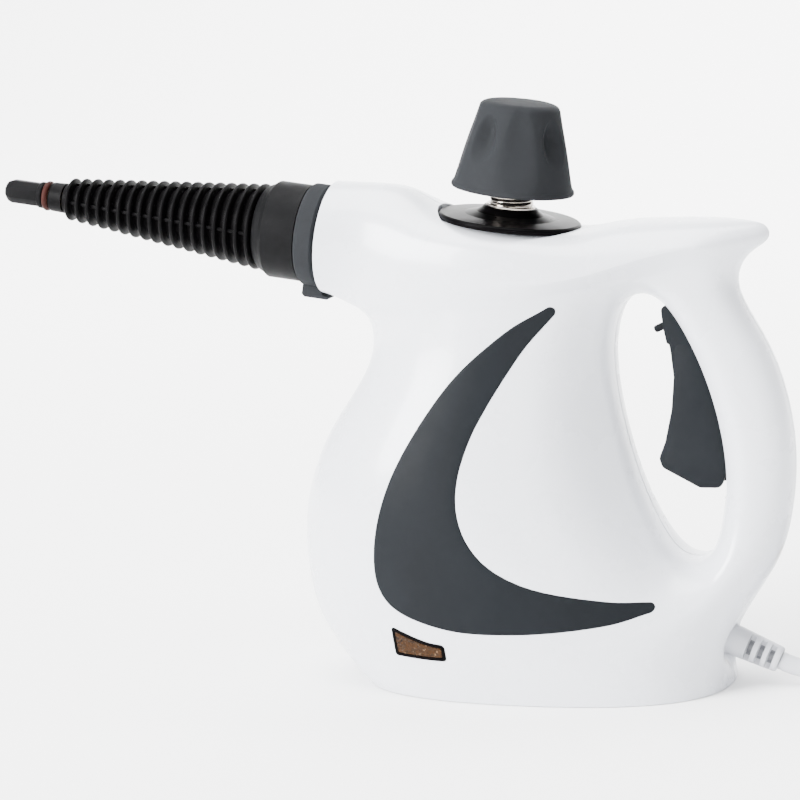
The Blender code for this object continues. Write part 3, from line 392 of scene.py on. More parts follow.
def evaluated(mesh, *modifiers):
    """The mesh after modifiers, each (type, {setting: value})."""
    obj = linked("working", mesh)
    for kind, settings in modifiers:
        modifier = obj.modifiers.new(kind.lower(), kind)
        for key, value in settings.items():
            setattr(modifier, key, value)
    bpy.context.view_layer.update()
    made = bpy.data.meshes.new_from_object(obj.evaluated_get(bpy.context.evaluated_depsgraph_get()))
    bpy.data.objects.remove(obj)
    return made


def cut_by(mesh, cutter_mesh):
    cutter = linked("cutter", cutter_mesh)
    made = evaluated(mesh, ("BOOLEAN", {"operation": "DIFFERENCE", "solver": "EXACT", "object": cutter}))
    bpy.data.objects.remove(cutter)
    return made


def smooth_route(points, step):
    """Points about step apart on a smooth curve through the given ones."""
    given = [Vector(point) for point in points]
    ends = [2 * given[0] - given[1], *given, 2 * given[-1] - given[-2]]
    route = []
    for before, start, end, after in zip(ends, ends[1:], ends[2:], ends[3:]):
        count = max(2, round((end - start).length / step))
        for i in range(count):
            t = i / count
            route.append(0.5 * (2 * start + (end - before) * t
                                + (2 * before - 5 * start + 4 * end - after) * t**2
                                + (3 * start - before - 3 * end + after) * t**3))
    return [*route, given[-1]]


# The mains lead, its coil, tie and plug.

CORD_RADIUS = 3.5
ROUTE_STEP = 4.0
RELIEF_END = 24.7
COIL_X, COIL_Y = 208.0, 45.5
COIL_RADII = (45.4, 38.4, 31.4)
COIL_LEVELS = (4.4, 11.4, 18.4, 25.4)
STEPS_PER_TURN = 36
CROSSING_SHARE = 0.25  # the end of each turn, where the lead steps across to the next
STRAP_X = COIL_X - 38.5
PLUG_LEVEL = 9.0
PLUG_X, PLUG_Y = 215.2, 113.5
PIN_OFFSET = 6.35
PIN_MIDDLE = 51.8
PIN_HOLE = 56.0
PLUG_SQUARE_FROM, PLUG_SQUARE_OVER = 13.0, 12.0  # where the round neck starts to turn square, and over what length
PLUG_GRIP_FROM, PLUG_GRIP_TO = 26.0, 38.0
PLUG_GRIP_PITCH = 2.4
PLUG_GRIP_DEPTH = 0.35
PLUG_STATIONS = ((0.0, 4.4, 4.4), (1.0, 4.7, 4.7), (6.0, 4.9, 4.9), (12.0, 5.2, 5.0), (15.0, 6.0, 5.3),
                 (18.0, 9.2, 6.6), (21.0, 11.2, 8.0), (24.0, 11.9, 8.8), (33.0, 11.9, 8.8), (41.0, 11.7, 8.7),
                 (42.6, 11.3, 8.3), (43.4, 10.4, 7.6))  # distance from the cord's end, half width, half height


def coil_points():
    places = []
    for i, level in enumerate(COIL_LEVELS):
        radii = COIL_RADII if i % 2 == 0 else COIL_RADII[::-1]
        places += [(radius, level) for radius in radii]
    points = []
    turns = len(places) - 1
    for i in range(round((turns + 0.25) * STEPS_PER_TURN) + 1):
        turn, part = divmod(i / STEPS_PER_TURN, 1.0)
        here = places[int(turn)]
        after = places[min(int(turn) + 1, turns)]
        t = max(0.0, (part - 1 + CROSSING_SHARE) / CROSSING_SHARE)
        t = t * t * (3 - 2 * t)
        radius = here[0] + (after[0] - here[0]) * t
        level = here[1] + (after[1] - here[1]) * t
        angle = 2 * math.pi * (i / STEPS_PER_TURN - 0.25)
        points.append(Vector((COIL_X + radius * math.cos(angle), COIL_Y + radius * math.sin(angle), level)))
    return points


def make_lead():
    drop = Vector((math.cos(RELIEF_TILT), 0.0, -math.sin(RELIEF_TILT)))
    start = Vector(RELIEF_ROOT) + drop * RELIEF_END
    lead = smooth_route([start, start + drop * 5, (163.5, 0, 5.6), (172, 0, 3.8), (183, 0, 3.9), (193, 0, 4.4),
                         (201, 0, 4.4)], ROUTE_STEP)
    side, top = COIL_X + COIL_RADII[0], COIL_LEVELS[-1]
    tail = smooth_route([(side + x, COIL_Y + y, level) for x, y, level in (
        (0.4, 3.0, top), (3.4, 14, top - 5), (4.6, 30, top - 13), (-1, 50, PLUG_LEVEL - 1),
        (-15, 63.5, PLUG_LEVEL - 0.5), (-30, 68, PLUG_LEVEL), (-38, 68, PLUG_LEVEL))], ROUTE_STEP)
    points = lead + coil_points() + tail
    curve = bpy.data.curves.new("mains_lead", "CURVE")
    curve.dimensions = "3D"
    curve.bevel_depth = CORD_RADIUS * MM
    curve.bevel_resolution = 5
    curve.use_fill_caps = True
    spline = curve.splines.new("POLY")
    spline.points.add(len(points) - 1)
    for point, place in zip(spline.points, points):
        point.co = (*(Vector(place) * MM), 1.0)
    curve.materials.append(MATERIALS["pale_pvc"])
    cord = linked("mains_lead", curve)
    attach(cord, "housing")
    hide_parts("cord", "cord_coil", "cord_tail")
    return cord, start


def make_tie():
    """A rubber strap round the coil."""
    work = bmesh.new()
    centre = axis_at((STRAP_X, COIL_Y, 0), 0.0)
    rows = []
    for level, inset in ((-6.0, 0.2), (-5.6, 0.0), (5.6, 0.0), (6.0, 0.2)):
        left, right, low, high = -11.55 + inset, 12.15 - inset, 0.1 + inset, 29.85 - inset
        outline = fillet([(left, low), (right, low), (right, high), (left, high)], 5.0, segments=5)
        rows.append([centre @ Vector((u, level, v)) for u, v in outline])
    inside = fillet([(-10.9, 0.7), (11.4, 0.7), (11.4, 29.1), (-10.9, 29.1)], 4.4, segments=5)
    rows += [[centre @ Vector((u, level, v)) for u, v in inside] for level in (6.0, -6.0)]
    skin_grid(work, rows, loop=True, wrap=True)
    return add_piece("coil_strap", work, "black_rubber", "housing", ["coil_tie"])


def make_plug():
    fine = []
    for (s0, a0, b0), (s1, a1, b1) in zip(PLUG_STATIONS, PLUG_STATIONS[1:]):
        count = max(1, round(s1 - s0))
        fine += [(s0 + (s1 - s0) * k / count, a0 + (a1 - a0) * k / count, b0 + (b1 - b0) * k / count)
                 for k in range(count)]
    fine.append(PLUG_STATIONS[-1])
    rows = []
    for s, wide, high in fine:
        power = 2.0 + 1.6 * share((s - PLUG_SQUARE_FROM) / PLUG_SQUARE_OVER)
        grip = 0.0
        if PLUG_GRIP_FROM <= s <= PLUG_GRIP_TO:
            grip = PLUG_GRIP_DEPTH * (0.5 - 0.5 * math.cos(2 * math.pi * (s - PLUG_GRIP_FROM) / PLUG_GRIP_PITCH))
        row = []
        for i in range(64):
            turn = 2 * math.pi * i / 64
            c, d = math.cos(turn), math.sin(turn)
            side = math.copysign(abs(c) ** (2 / power), c) * (wide - grip)
            up = math.copysign(abs(d) ** (2 / power), d) * high
            row.append(mm(PLUG_X - s, PLUG_Y + side, PLUG_LEVEL + 0.05 + up))
        rows.append(row)
    made = [add_piece("plug_moulding", capped_tube(rows), "pale_pvc", "housing", ["plug_body"])]
    outline = [(8.0, -3.15), (-6.6, -3.15), (-8.0, -1.9), (-8.0, 1.9), (-6.6, 3.15), (8.0, 3.15)]
    for number, y in ((1, PLUG_Y - PIN_OFFSET), (2, PLUG_Y + PIN_OFFSET)):
        blade = prism(fillet(outline, 0.9), -0.75, 0.75, bevel=(0.22, 2, 50))
        blade.transform(Matrix.Translation(mm(PLUG_X - PIN_MIDDLE, y, PLUG_LEVEL)))
        hole = lathe([(0, 2), (1.55, 2), (1.55, -2), (0, -2)],
                     axis_at((PLUG_X - PIN_HOLE, y, PLUG_LEVEL), math.pi / 2, "X"), 32)
        pin = cut_by(mesh_from(blade, "blade"), mesh_from(hole, "hole"))
        made.append(add_piece(f"plug_pin_{number}", pin, "brass", "housing", [f"plug_blade_{number}"]))
    return made


make_camera()
cord_object, cord_exit = make_lead()
plug_pieces = make_plug()
strap = make_tie()

# The body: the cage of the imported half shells, smoothed finely.

BASE_CENTRE_X = 59.8
BASE_HALF_LENGTH = 73.0
BASE_HALF_WIDTH = 46.2
OVAL_POWER = 2.5
SHELL_FOOT_Z = 0.15
MOUTH_RADIUS = 21.9
MOUTH_S = 21.6
CAGE_SWELL = 1.108
WIDTH_FIT = 0.997
RIM_ROUND = 7.5
WALL = 2.4
SEAM = 0.15
SEAM_GROOVE = 0.3
SCOOP_REACH = 13.0  # the hollow that the body has around the boot of the lead
SCOOP_DEPTH = 6.4
SCOOP_BACK = -12.0
SCOOP_LOW = 2.0
SCOOP_FADE = 6.0
FORM_LEVELS = 3
GUIDE_LEVELS = 5

HOLE_ROWS = (
    ((-38.0, 52.0), (113.5, 48.6), (127.0, 49.0), (151.5, 46.0), 48.3, 23.0, 20.0),
    ((-37.0, 68.0), (105.0, 63.0), (131.4, 63.5), (157.0, 63.0), 47.3, 19.0, 16.5),
    ((-32.4, 84.0), (98.2, 80.0), (133.2, 80.0), (159.8, 82.0), 45.3, 17.0, 15.2),
    ((-25.0, 99.0), (93.2, 99.5), (131.2, 98.0), (159.5, 99.0), 42.0, 16.0, 14.6),
    ((-14.2, 113.0), (90.2, 118.0), (126.8, 116.0), (156.6, 115.5), 38.5, 16.0, 14.2),
    ((-4.6, 128.0), (90.0, 134.5), (120.7, 133.0), (150.6, 132.0), 35.5, 16.5, 14.2),
    ((-5.8, 144.5), (95.2, 150.8), (110.2, 152.6), (141.3, 146.5), 33.5, 18.5, 14.6),
)
FRONT_COLUMNS = ((0.02, 0.36, 0.0), (0.2, 0.79, 0.0), (0.5, 1.0, 0.0), (0.82, 0.7, 0.3))
LOW_ROW = ((-11, 14, 148.5), (4, 23.5, 149), (22, 29, 150), (50, 32.3, 149.5),
           (84, 24, 154.5), (108, 17.2, 160), (122, 14.4, 160.6), (133, 12, 160))
SIDE_ROW = ((-6, 19.5, 157.5), (8, 24, 160), (23, 28.5, 161.5), (50, 33, 158),
            (80, 31, 158.6), (100, 26.6, 164.9), (118, 22.4, 169.4), (137, 19.2, 171.8))
EDGE_ROW = ((-3.5, 20.6, 178), (10, 22.8, 177.5), (24, 27.5, 176.5), (50, 31.5, 174.5),
            (79, 28.4, 169.6), (94, 23.8, 171.8), (113, 18.8, 174.4), (137, 16.2, 175.6))
CROWN_ROW = ((-3, 11.5, 191.2), (12, 12.6, 190.3), (24.5, 15.5, 182), (50, 20, 179),
             (79, 16.5, 174), (93, 13.5, 177.6), (113, 11, 178.4), (137, 10, 178.4))
SEAM_ROW = ((-3, 0, 195), (13, 0, 194.2), (24, 0, 184), (50, 0, 177.5),
            (79, 0, 173.4), (92, 0, 179), (113, 0, 179.2), (137, 0, 179.2))
MOUTH_ANGLES = (-90, -45, 0, 45, 90)
REAR_ENDS = ((140.2, 155.5), (146.4, 163.2), (158.6, 166.6), (159.6, 172.8), (151.5, 178.2))
HOLE_BOTTOM_ROW = 3
HOLE_TOP_ROW = HOLE_BOTTOM_ROW + len(HOLE_ROWS) - 1
HOLE_COLUMN = 5
BRIM_ROW = 11
BRIM_CREASES = {3: 0.2, 4: 0.6, 5: 0.9, 6: 0.95, 7: 0.95}  # how sharp each cage edge of the brim's row is
TRIGGER_SLOT = ((105.0, 148.5), (126.0, 148.5), (140.5, 110.0), (142.5, 73.5), (114.0, 73.5))
SCREW_PLACES = ((-14.0, 60.0), (84.0, 14.0), (146.0, 62.0), (133.2, 163.2))
SCREW_BORE = ((0, 80), (3.0, 80), (3.0, 5.2), (1.7, 5.2), (1.7, -1), (0, -1))
COLLAR_SEAT = ((0, 60), (27.7, 60), (27.7, -2.2), (20.3, -2.2), (20.3, -14), (0, -14))
BOOT_BORE = ((0, 18), (6.1, 18), (6.1, -4), (0, -4))


def oval_row(centre_x, half_length, half_width, z, z_rear, squeeze=1.0):
    row = []
    for degrees in (180, 160, 137, 108, 84, 63, 46, 31, 15, 0):
        turn = math.radians(degrees)
        along = math.copysign(abs(math.cos(turn)) ** (2 / OVAL_POWER), math.cos(turn))
        side = math.sin(turn) ** (2 / OVAL_POWER)
        row.append((centre_x + half_length * along, half_width * side * (1 - (1 - squeeze) * max(0.0, along)),
                    z + (z_rear - z) * (along + 1) / 2))
    return row


def mouth_point(degrees):
    turn = math.radians(degrees)
    reach = MOUTH_RADIUS * CAGE_SWELL
    lift = reach * math.sin(turn)
    return (NOZZLE_ROOT[0] - MOUTH_S * math.cos(TILT) + lift * math.sin(TILT), reach * math.cos(turn),
            NOZZLE_ROOT[2] + MOUTH_S * math.sin(TILT) + lift * math.cos(TILT))


def hole_row(front, rim_front, rim_rear, rear, belly, rim, grip):
    row = [(front[0], 0.0, front[1])]
    for back, wide, rim_share in FRONT_COLUMNS:
        row.append((front[0] + (rim_front[0] - front[0]) * back, belly * wide + rim * rim_share,
                    front[1] + (rim_front[1] - front[1]) * back))
    row += [(rim_front[0], rim, rim_front[1]), (rim_rear[0], rim * 0.9, rim_rear[1])]
    depth = (rear[0] - rim_rear[0], rear[1] - rim_rear[1])
    for back, wide in ((0.5, 1.0), (0.92, 0.68)):
        row.append((rim_rear[0] + depth[0] * back, grip * wide, rim_rear[1] + depth[1] * back))
    row.append((rear[0], 0.0, rear[1]))
    return row


def cage_rows():
    rows = [oval_row(BASE_CENTRE_X, BASE_HALF_LENGTH, BASE_HALF_WIDTH, SHELL_FOOT_Z, SHELL_FOOT_Z),
            oval_row(55.1, 76.6, 47.6, 9.0, 9.0), oval_row(50.4, 86.2, 48.8, 29.0, 27.0, squeeze=0.8)]
    rows += [hole_row(*row) for row in HOLE_ROWS]
    over = (LOW_ROW, SIDE_ROW, EDGE_ROW, CROWN_ROW, SEAM_ROW)
    for degrees, points, (x, z) in zip(MOUTH_ANGLES, over, REAR_ENDS):
        rows.append([mouth_point(degrees), *points, (x, 0.0, z)])
    return rows


def shell_cage():
    """The cage of the left (-Y) half, open at the middle plane, with a sharpened brim."""
    rows = cage_rows()
    work = bmesh.new()
    crease = work.edges.layers.float.new("crease_edge")
    loop = [row[1] for row in HOLE_ROWS] + [row[2] for row in reversed(HOLE_ROWS)]
    centre = sum((Vector(point) for point in loop), Vector((0.0, 0.0))) / len(loop)
    verts = []
    for r, row in enumerate(rows):
        line = []
        for c, (x, half, z) in enumerate(row):
            if HOLE_BOTTOM_ROW <= r <= HOLE_TOP_ROW and c in (HOLE_COLUMN, HOLE_COLUMN + 1):
                out = Vector((x, z)) - centre
                out.x *= 2.2
                x, z = Vector((x, z)) + out.normalized() * RIM_ROUND
            line.append(work.verts.new(mm(x, -half * WIDTH_FIT, z)))
        verts.append(line)
    for r in range(len(rows) - 1):
        for c in range(len(rows[0]) - 1):
            if not (HOLE_BOTTOM_ROW <= r < HOLE_TOP_ROW and c == HOLE_COLUMN):
                work.faces.new((verts[r][c], verts[r][c + 1], verts[r + 1][c + 1], verts[r + 1][c]))
    span = range(HOLE_BOTTOM_ROW, HOLE_TOP_ROW + 1)
    rim = [verts[r][HOLE_COLUMN] for r in span] + [verts[r][HOLE_COLUMN + 1] for r in reversed(span)]
    for inwards in (0.55, 0.0):
        inner = [work.verts.new((x * MM, vert.co.y * inwards, z * MM)) for vert, (x, z) in zip(rim, loop)]
        for i in range(len(rim)):
            j = (i + 1) % len(rim)
            work.faces.new((rim[i], rim[j], inner[j], inner[i]))
        rim = inner
    for column, sharpness in BRIM_CREASES.items():
        edge = work.edges.get((verts[BRIM_ROW][column], verts[BRIM_ROW][column + 1]))
        edge[crease] = sharpness
    bmesh.ops.recalc_face_normals(work, faces=work.faces)
    work.faces.ensure_lookup_table()
    belly = max(work.faces, key=lambda face: abs(face.calc_center_median().y))
    if belly.normal.y > 0:
        bmesh.ops.reverse_faces(work, faces=work.faces)
    return plain_mesh(work, "cage")


def body_form(levels):
    return evaluated(shell_cage(),
                     ("MIRROR", {"use_axis": (False, True, False), "merge_threshold": 1e-5}),
                     ("SUBSURF", {"levels": levels, "render_levels": levels}))


def make_guide():
    """The outer skin, finely divided, for laying panels on it."""
    work = bmesh.new()
    work.from_mesh(body_form(GUIDE_LEVELS))
    tree = BVHTree.FromBMesh(work)
    work.free()
    return tree


GUIDE = make_guide()


def on_skin(x, z, height):
    """The point that stands above the left side of the skin at (x, z) by a height, all in millimetres."""
    place, normal = GUIDE.ray_cast(mm(x, -200, z), Vector((0, 1, 0)))[:2]
    return place + normal * (height * MM)


def half_form(side):
    """One half of the skin with a fine groove along the seam."""
    work = bmesh.new()
    work.from_mesh(body_form(FORM_LEVELS))
    work.normal_update()
    to_relief = RELIEF.inverted()
    for vert in work.verts:
        local = to_relief @ vert.co
        away = math.hypot(local.x, local.y)
        if local.z > SCOOP_BACK and away < SCOOP_REACH:
            low_fade = share((vert.co.z / MM - SCOOP_LOW) / SCOOP_FADE)
            depth = SCOOP_DEPTH * low_fade * (0.5 + 0.5 * math.cos(math.pi * away / SCOOP_REACH))
            vert.co -= vert.normal * (depth * MM)
    work.normal_update()
    sunk = {vert: vert.normal.copy() for vert in work.verts if abs(vert.co.y) < 1e-6}
    bmesh.ops.delete(work, geom=[face for face in work.faces if face.calc_center_median().y * side < 0],
                     context="FACES")
    sunk = {vert: normal for vert, normal in sunk.items() if vert.is_valid}
    bmesh.ops.bisect_plane(work, geom=work.verts[:] + work.edges[:] + work.faces[:], dist=1e-7,
                           plane_co=mm(0, side * 0.55, 0), plane_no=(0, 1, 0))
    for vert, normal in sunk.items():
        vert.co -= normal * (SEAM_GROOVE * MM)
        vert.co.y = side * SEAM * MM
    solidify = {"thickness": WALL * MM, "offset": -1.0, "use_even_offset": True}
    hollow = evaluated(plain_mesh(work, "half"), ("SOLIDIFY", solidify))
    for vert in hollow.vertices:
        vert.co.z = max(vert.co.z, SHELL_FOOT_Z * MM)
    return hollow


def make_shells():
    for side, word in ((-1, "left"), (1, "right")):
        work = bmesh.new()
        append(work, lathe(COLLAR_SEAT, FILLER, 128), lathe(BOOT_BORE, RELIEF, 64),
               prism(fillet(TRIGGER_SLOT, 2.5), -8.9, 8.9))
        if side > 0:
            for x, z in SCREW_PLACES:
                append(work, lathe(SCREW_BORE, axis_at((x, 0, z), -math.pi / 2, "X"), 32))
        shell = cut_by(half_form(side), plain_mesh(work, "openings"))
        add_piece(f"shell_{word}", shell, "white_abs", "housing", [f"body_shell_{word}"])


# Panels laid on the skin.

CRESCENT_OUTER = ((71.7, 149.2), (55.0, 139.5), (32.3, 119.0), (11.0, 86.5), (2.4, 57.0), (7.6, 38.0),
                  (30.5, 28.8), (59.3, 27.3), (91.6, 29.8), (107.9, 33.6))
CRESCENT_INNER = ((74.5, 145.6), (61.0, 130.0), (43.4, 101.0), (37.8, 77.0), (44.8, 58.2), (62.6, 46.2),
                  (91.6, 39.4), (107.5, 38.0))
CRESCENT_STATIONS = 150
CRESCENT_PROUD = 0.25
CRESCENT_EDGE = 0.9
CRESCENT_SKIRT = 1.4
CRESCENT_STEPS = (0.0, 0.12, 0.32, 0.6, 1.0)
CRESCENT_END_TURNS = (78, 66, 54, 42, 30, 18, 8)


def even_points(route, count):
    """count points spread evenly over the length of a route."""
    lengths = [0.0]
    for a, b in zip(route, route[1:]):
        lengths.append(lengths[-1] + (b - a).length)
    points, k = [], 0
    for i in range(count):
        wanted = lengths[-1] * i / (count - 1)
        while k < len(route) - 2 and lengths[k + 1] < wanted:
            k += 1
        points.append(route[k].lerp(route[k + 1], (wanted - lengths[k]) / max(1e-9, lengths[k + 1] - lengths[k])))
    return points


def border_steps(width, steps, middle):
    """Places across a width, close together near both borders."""
    scale = min(1.0, width / (2.6 * steps[-1]))
    near = [step * scale for step in steps]
    inside = [near[-1] + (width - 2 * near[-1]) * i / middle for i in range(1, middle)]
    return near + inside + [width - step for step in reversed(near)]


def rounded_height(distance, top, radius):
    """The height of a surface whose border is rounded, at a distance inside the border."""
    if distance >= radius:
        return top
    return top - radius + math.sqrt(max(0.0, radius**2 - (radius - max(0.0, distance)) ** 2))


def sunk_patch(rows, depth):
    """A closed patch on the left side: a grid of points, a skirt sunk into the body, and its underside."""
    work = bmesh.new()
    grid = skin_grid(work, rows)
    floor = [[work.verts.new(vert.co + Vector((0, depth * MM, 0))) for vert in row] for row in grid]
    border, sunk = ([*level[0][:-1], *(row[-1] for row in level[:-1]), *level[-1][:0:-1],
                     *(row[0] for row in reversed(level[1:]))] for level in (grid, floor))
    for i in range(len(border)):
        j = (i + 1) % len(border)
        work.faces.new((border[i], border[j], sunk[j], sunk[i]))
    for first, second in zip(floor, floor[1:]):
        for c in range(len(first) - 1):
            work.faces.new((first[c], second[c], second[c + 1], first[c + 1]))
    return work


def make_crescents():
    outer, inner = (even_points(smooth_route([(x, 0, z) for x, z in line], 2.0), CRESCENT_STATIONS)
                    for line in (CRESCENT_OUTER, CRESCENT_INNER))
    pairs = list(zip(outer, inner))
    ends = []
    for (first, second), (before, after) in ((pairs[0], pairs[2]), (pairs[-1], pairs[-3])):
        middle, half = (first + second) / 2, (first - second) / 2
        on = (middle - (before + after) / 2).normalized() * half.length
        end = []
        for degrees in CRESCENT_END_TURNS:
            turn = math.radians(degrees)
            tip = middle + on * math.sin(turn)
            end.append((tip + half * math.cos(turn), tip - half * math.cos(turn)))
        ends.append(end)
    rows = []
    for first, second in ends[0] + pairs + ends[1][::-1]:
        width = (second - first).length
        row = []
        for place in border_steps(width, CRESCENT_STEPS, 16):
            point = first.lerp(second, place / width)
            inside = min(place, width - place)
            row.append(on_skin(point.x, point.z, rounded_height(inside, CRESCENT_PROUD, CRESCENT_EDGE)))
        rows.append(row)
    for side, word in ((1, "left"), (-1, "right")):
        work = sunk_patch(rows, CRESCENT_SKIRT)
        work.transform(Matrix.Diagonal((1, side, 1, 1)))
        add_piece(f"crescent_{word}", work, "dark_grey_abs", "housing", [f"crescent_panel_{word}"])


WINDOW_TOP = ((9.3, 28.8), (17.3, 25.8), (24.5, 23.6), (31.2, 22.7))
WINDOW_BOTTOM = ((10.5, 17.4), (17.5, 16.9), (24.5, 16.5), (32.0, 16.4))
WINDOW_STATIONS = 60
WINDOW_RIM = 1.2  # width of the surround's raised rim
WINDOW_RIM_HEIGHT = 0.5
WINDOW_FLOOR = 0.05
WINDOW_RIM_FALL = 0.25
WINDOW_OUTSIDE = -0.8  # the level of what lies outside the rounded corners, sunk in the skin
WINDOW_SKIRT = 1.6


def window_patch(inset, steps, height_at, corner):
    top, bottom = (even_points(smooth_route([(x, 0, z) for x, z in line], 1.0), WINDOW_STATIONS)
                   for line in (WINDOW_TOP, WINDOW_BOTTOM))
    length = (bottom[-1] - bottom[0]).length
    rows = []
    for place in border_steps(length - 2 * inset, steps, 18):
        at = (place + inset) / length * (WINDOW_STATIONS - 1)
        k = min(WINDOW_STATIONS - 2, int(at))
        high, low = top[k].lerp(top[k + 1], at - k), bottom[k].lerp(bottom[k + 1], at - k)
        width = (high - low).length
        row = []
        for across in border_steps(width - 2 * inset, steps, 10):
            point = low.lerp(high, (across + inset) / width)
            along = min(place, length - 2 * inset - place)
            beside = min(across, width - 2 * inset - across)
            inside = min(along, beside)
            if along < corner and beside < corner:
                inside = corner - math.hypot(corner - along, corner - beside)
            row.append(on_skin(point.x, point.z, WINDOW_OUTSIDE if inside < 0 else height_at(inside)))
        rows.append(row)
    return sunk_patch(rows, WINDOW_SKIRT)


def make_window():
    def rim(inside):
        if inside < WINDOW_RIM:
            return rounded_height(inside, WINDOW_RIM_HEIGHT, WINDOW_RIM_HEIGHT)
        fall = min(1.0, (inside - WINDOW_RIM) / WINDOW_RIM_FALL)
        return WINDOW_RIM_HEIGHT - (WINDOW_RIM_HEIGHT - WINDOW_FLOOR) * fall

    def lens(inside):
        return rounded_height(inside, 0.42, 0.35)
    surround = window_patch(0.0, (0.0, 0.08, 0.2, 0.36, 0.55, 0.85, 1.2, 1.33, 1.46, 1.7), rim, 1.3)
    add_piece("window_surround", surround, "gloss_black_abs", "housing", ["window_bezel"])
    add_piece("window_lens", window_patch(1.35, (0.0, 0.06, 0.16, 0.3, 0.5), lens, 0.6), "amber_lens", "housing",
              ["indicator_lens"])


# Filler: collar, threaded neck and dented cap.

THREAD_PITCH = 3.0
NECK_RADIUS = 8.45
NECK_BORE = 6.6
THREAD_FROM, THREAD_TO = 5.6, 25.2
THREAD_DEPTH = 0.55
PLAIN_INSET = 0.25  # how far the neck's plain ends are below the thread's crest
CAP_BOTTOM_H = 10.6
CAP_TOP_H = 44.35
CAP_FACING = math.radians(-70.9)
CAP_DENT = 4.6
CAP_EDGE = 2.6
CAP_EDGE_DROP = 4.6
CAP_STEPS = 256
CAP_LEVELS = 56
# (radius, height above the cap's bottom) inside the cap and round its lower rim
CAP_RIM = ((14.2, 29.0), (14.2, 1.2), (15.0, 0.3), (16.0, 0.0), (22.6, 0.0), (23.2, 0.15), (23.5, 0.6),
           (23.5, 1.2), (23.3, 1.7), (22.95, 2.1))
CAP_WALL_START = 2.6
CAP_CROWN = ((7.6, 0.12), (5.2, 0.2), (2.8, 0.24))  # (radius, height above the cap's top)


def make_collar():
    top = fillet([(8.9, 4.3), (10.2, 4.3), (11.0, 3.3), (13.0, 1.9), (17.5, 0.8), (26.6, 0.3), (27.4, -0.3),
                  (27.4, -1.9), (26.9, -2.0)], 0.8, closed=False, segments=4)
    profile = top + [(19.6, -2.0), (19.6, -6.0), (8.9, -6.0)]
    work = lathe(profile, FILLER, 160, closed=True)
    add_piece("collar", work, "gloss_black_abs", "housing", ["filler_collar"], 50)


def make_neck():
    """The neck, with its screw thread and a thin washer on the collar's hub."""
    rows = []
    for height in [-6.4, -6.0, 4.0] + [5.0 + 0.25 * i for i in range(82)] + [25.7, 26.0]:
        def radius(turn):
            wave = 0.5 + 0.5 * math.cos(2 * math.pi * height / THREAD_PITCH - turn)
            threaded = THREAD_FROM < height < THREAD_TO
            return NECK_RADIUS - (THREAD_DEPTH * (1 - wave**0.7) if threaded else PLAIN_INSET)
        rows.append(ring_at(FILLER, radius, height, 72))
    rows += [ring_at(FILLER, NECK_BORE, height, 72) for height in (26.0, -6.4)]
    work = bmesh.new()
    skin_grid(work, rows, loop=True, wrap=True)
    append(work, lathe([(8.0, 5.1), (9.2, 5.1), (9.4, 4.9), (9.4, 4.35), (8.0, 4.35)], FILLER, 72, closed=True))
    add_piece("neck", work, "chrome", "housing", ["filler_neck"], 40)


def knob_radius(level, turn):
    """The cap's outer radius at a share of its height: a bell with four flats, and oval dents between them."""
    bell = 23.2 - 3.0 * level - 8.6 * level**2 + 3.2 * level**3
    quarter = math.pi / 2
    from_flat = (turn - CAP_FACING + quarter / 2) % quarter - quarter / 2
    from_dent = (turn - CAP_FACING) % quarter - quarter / 2
    flat = 1 - (from_flat / (0.44 - 0.16 * level)) ** 2 - ((level - 0.5) / 0.5) ** 4
    dent = 1 - (from_dent / 0.31) ** 2 - ((level - 0.60) / 0.28) ** 2
    return bell - 1.0 * max(0.0, flat) ** 1.5 - CAP_DENT * max(0.0, dent) ** 1.25


def make_cap():
    height = CAP_TOP_H - CAP_BOTTOM_H
    rows = [ring_at(FILLER, radius, CAP_BOTTOM_H + level, CAP_STEPS) for radius, level in CAP_RIM]
    for i in range(CAP_LEVELS + 1):
        level = CAP_WALL_START + (height - CAP_EDGE - CAP_WALL_START) * i / CAP_LEVELS
        rows.append(ring_at(FILLER, lambda turn: knob_radius(level / height, turn), CAP_BOTTOM_H + level,
                            CAP_STEPS))
    for angle in range(15, 91, 15):
        inwards = math.radians(angle)
        drop, lift = CAP_EDGE_DROP * (1 - math.cos(inwards)), CAP_EDGE * (math.sin(inwards) - 1)
        rows.append(ring_at(FILLER, lambda turn: knob_radius(1 - CAP_EDGE / height, turn) - drop, CAP_TOP_H + lift,
                            CAP_STEPS))
    rows += [ring_at(FILLER, radius, CAP_TOP_H + level, CAP_STEPS) for radius, level in CAP_CROWN]
    add_piece("cap", capped_tube(rows), "mid_grey_abs", "cap_knob", ["cap_knob"], 50)


# Nozzle: locking ring, smooth base, ribbed cone, collar, O-ring and tip.

RIB_COUNT = 18
RIB_FIRST_S = 51.3
RIB_PITCH = 4.69
RIB_LARGE_RADIUS = 16.9
RIB_SMALL_RADIUS = 8.5
RIB_DEPTH = 2.9
RIB_ROUND = 0.75
WEB_DROP = 1.9
WEB_TURN = math.radians(-94)


def make_lock_ring():
    profile = fillet([(15.0, 30.9), (19.0, 30.9), (19.9, 30.0), (19.9, 24.0), (19.0, 23.1), (15.0, 23.1)], 0.5)
    work = lathe(profile, NOZZLE, 128, closed=True)
    tab = fillet([(-17.4, 30.6), (-23.2, 30.9), (-24.35, 29.8), (-24.35, 20.2), (-23.2, 19.6), (-22.7, 22.3),
                  (-17.4, 22.8)], 0.5)
    append(work, prism(tab, -4.0, 4.0, NOZZLE, (0.6, 3, 50)))
    add_piece("ring_with_tab", work, "mid_grey_abs", "lock_ring", ["lock_ring"])


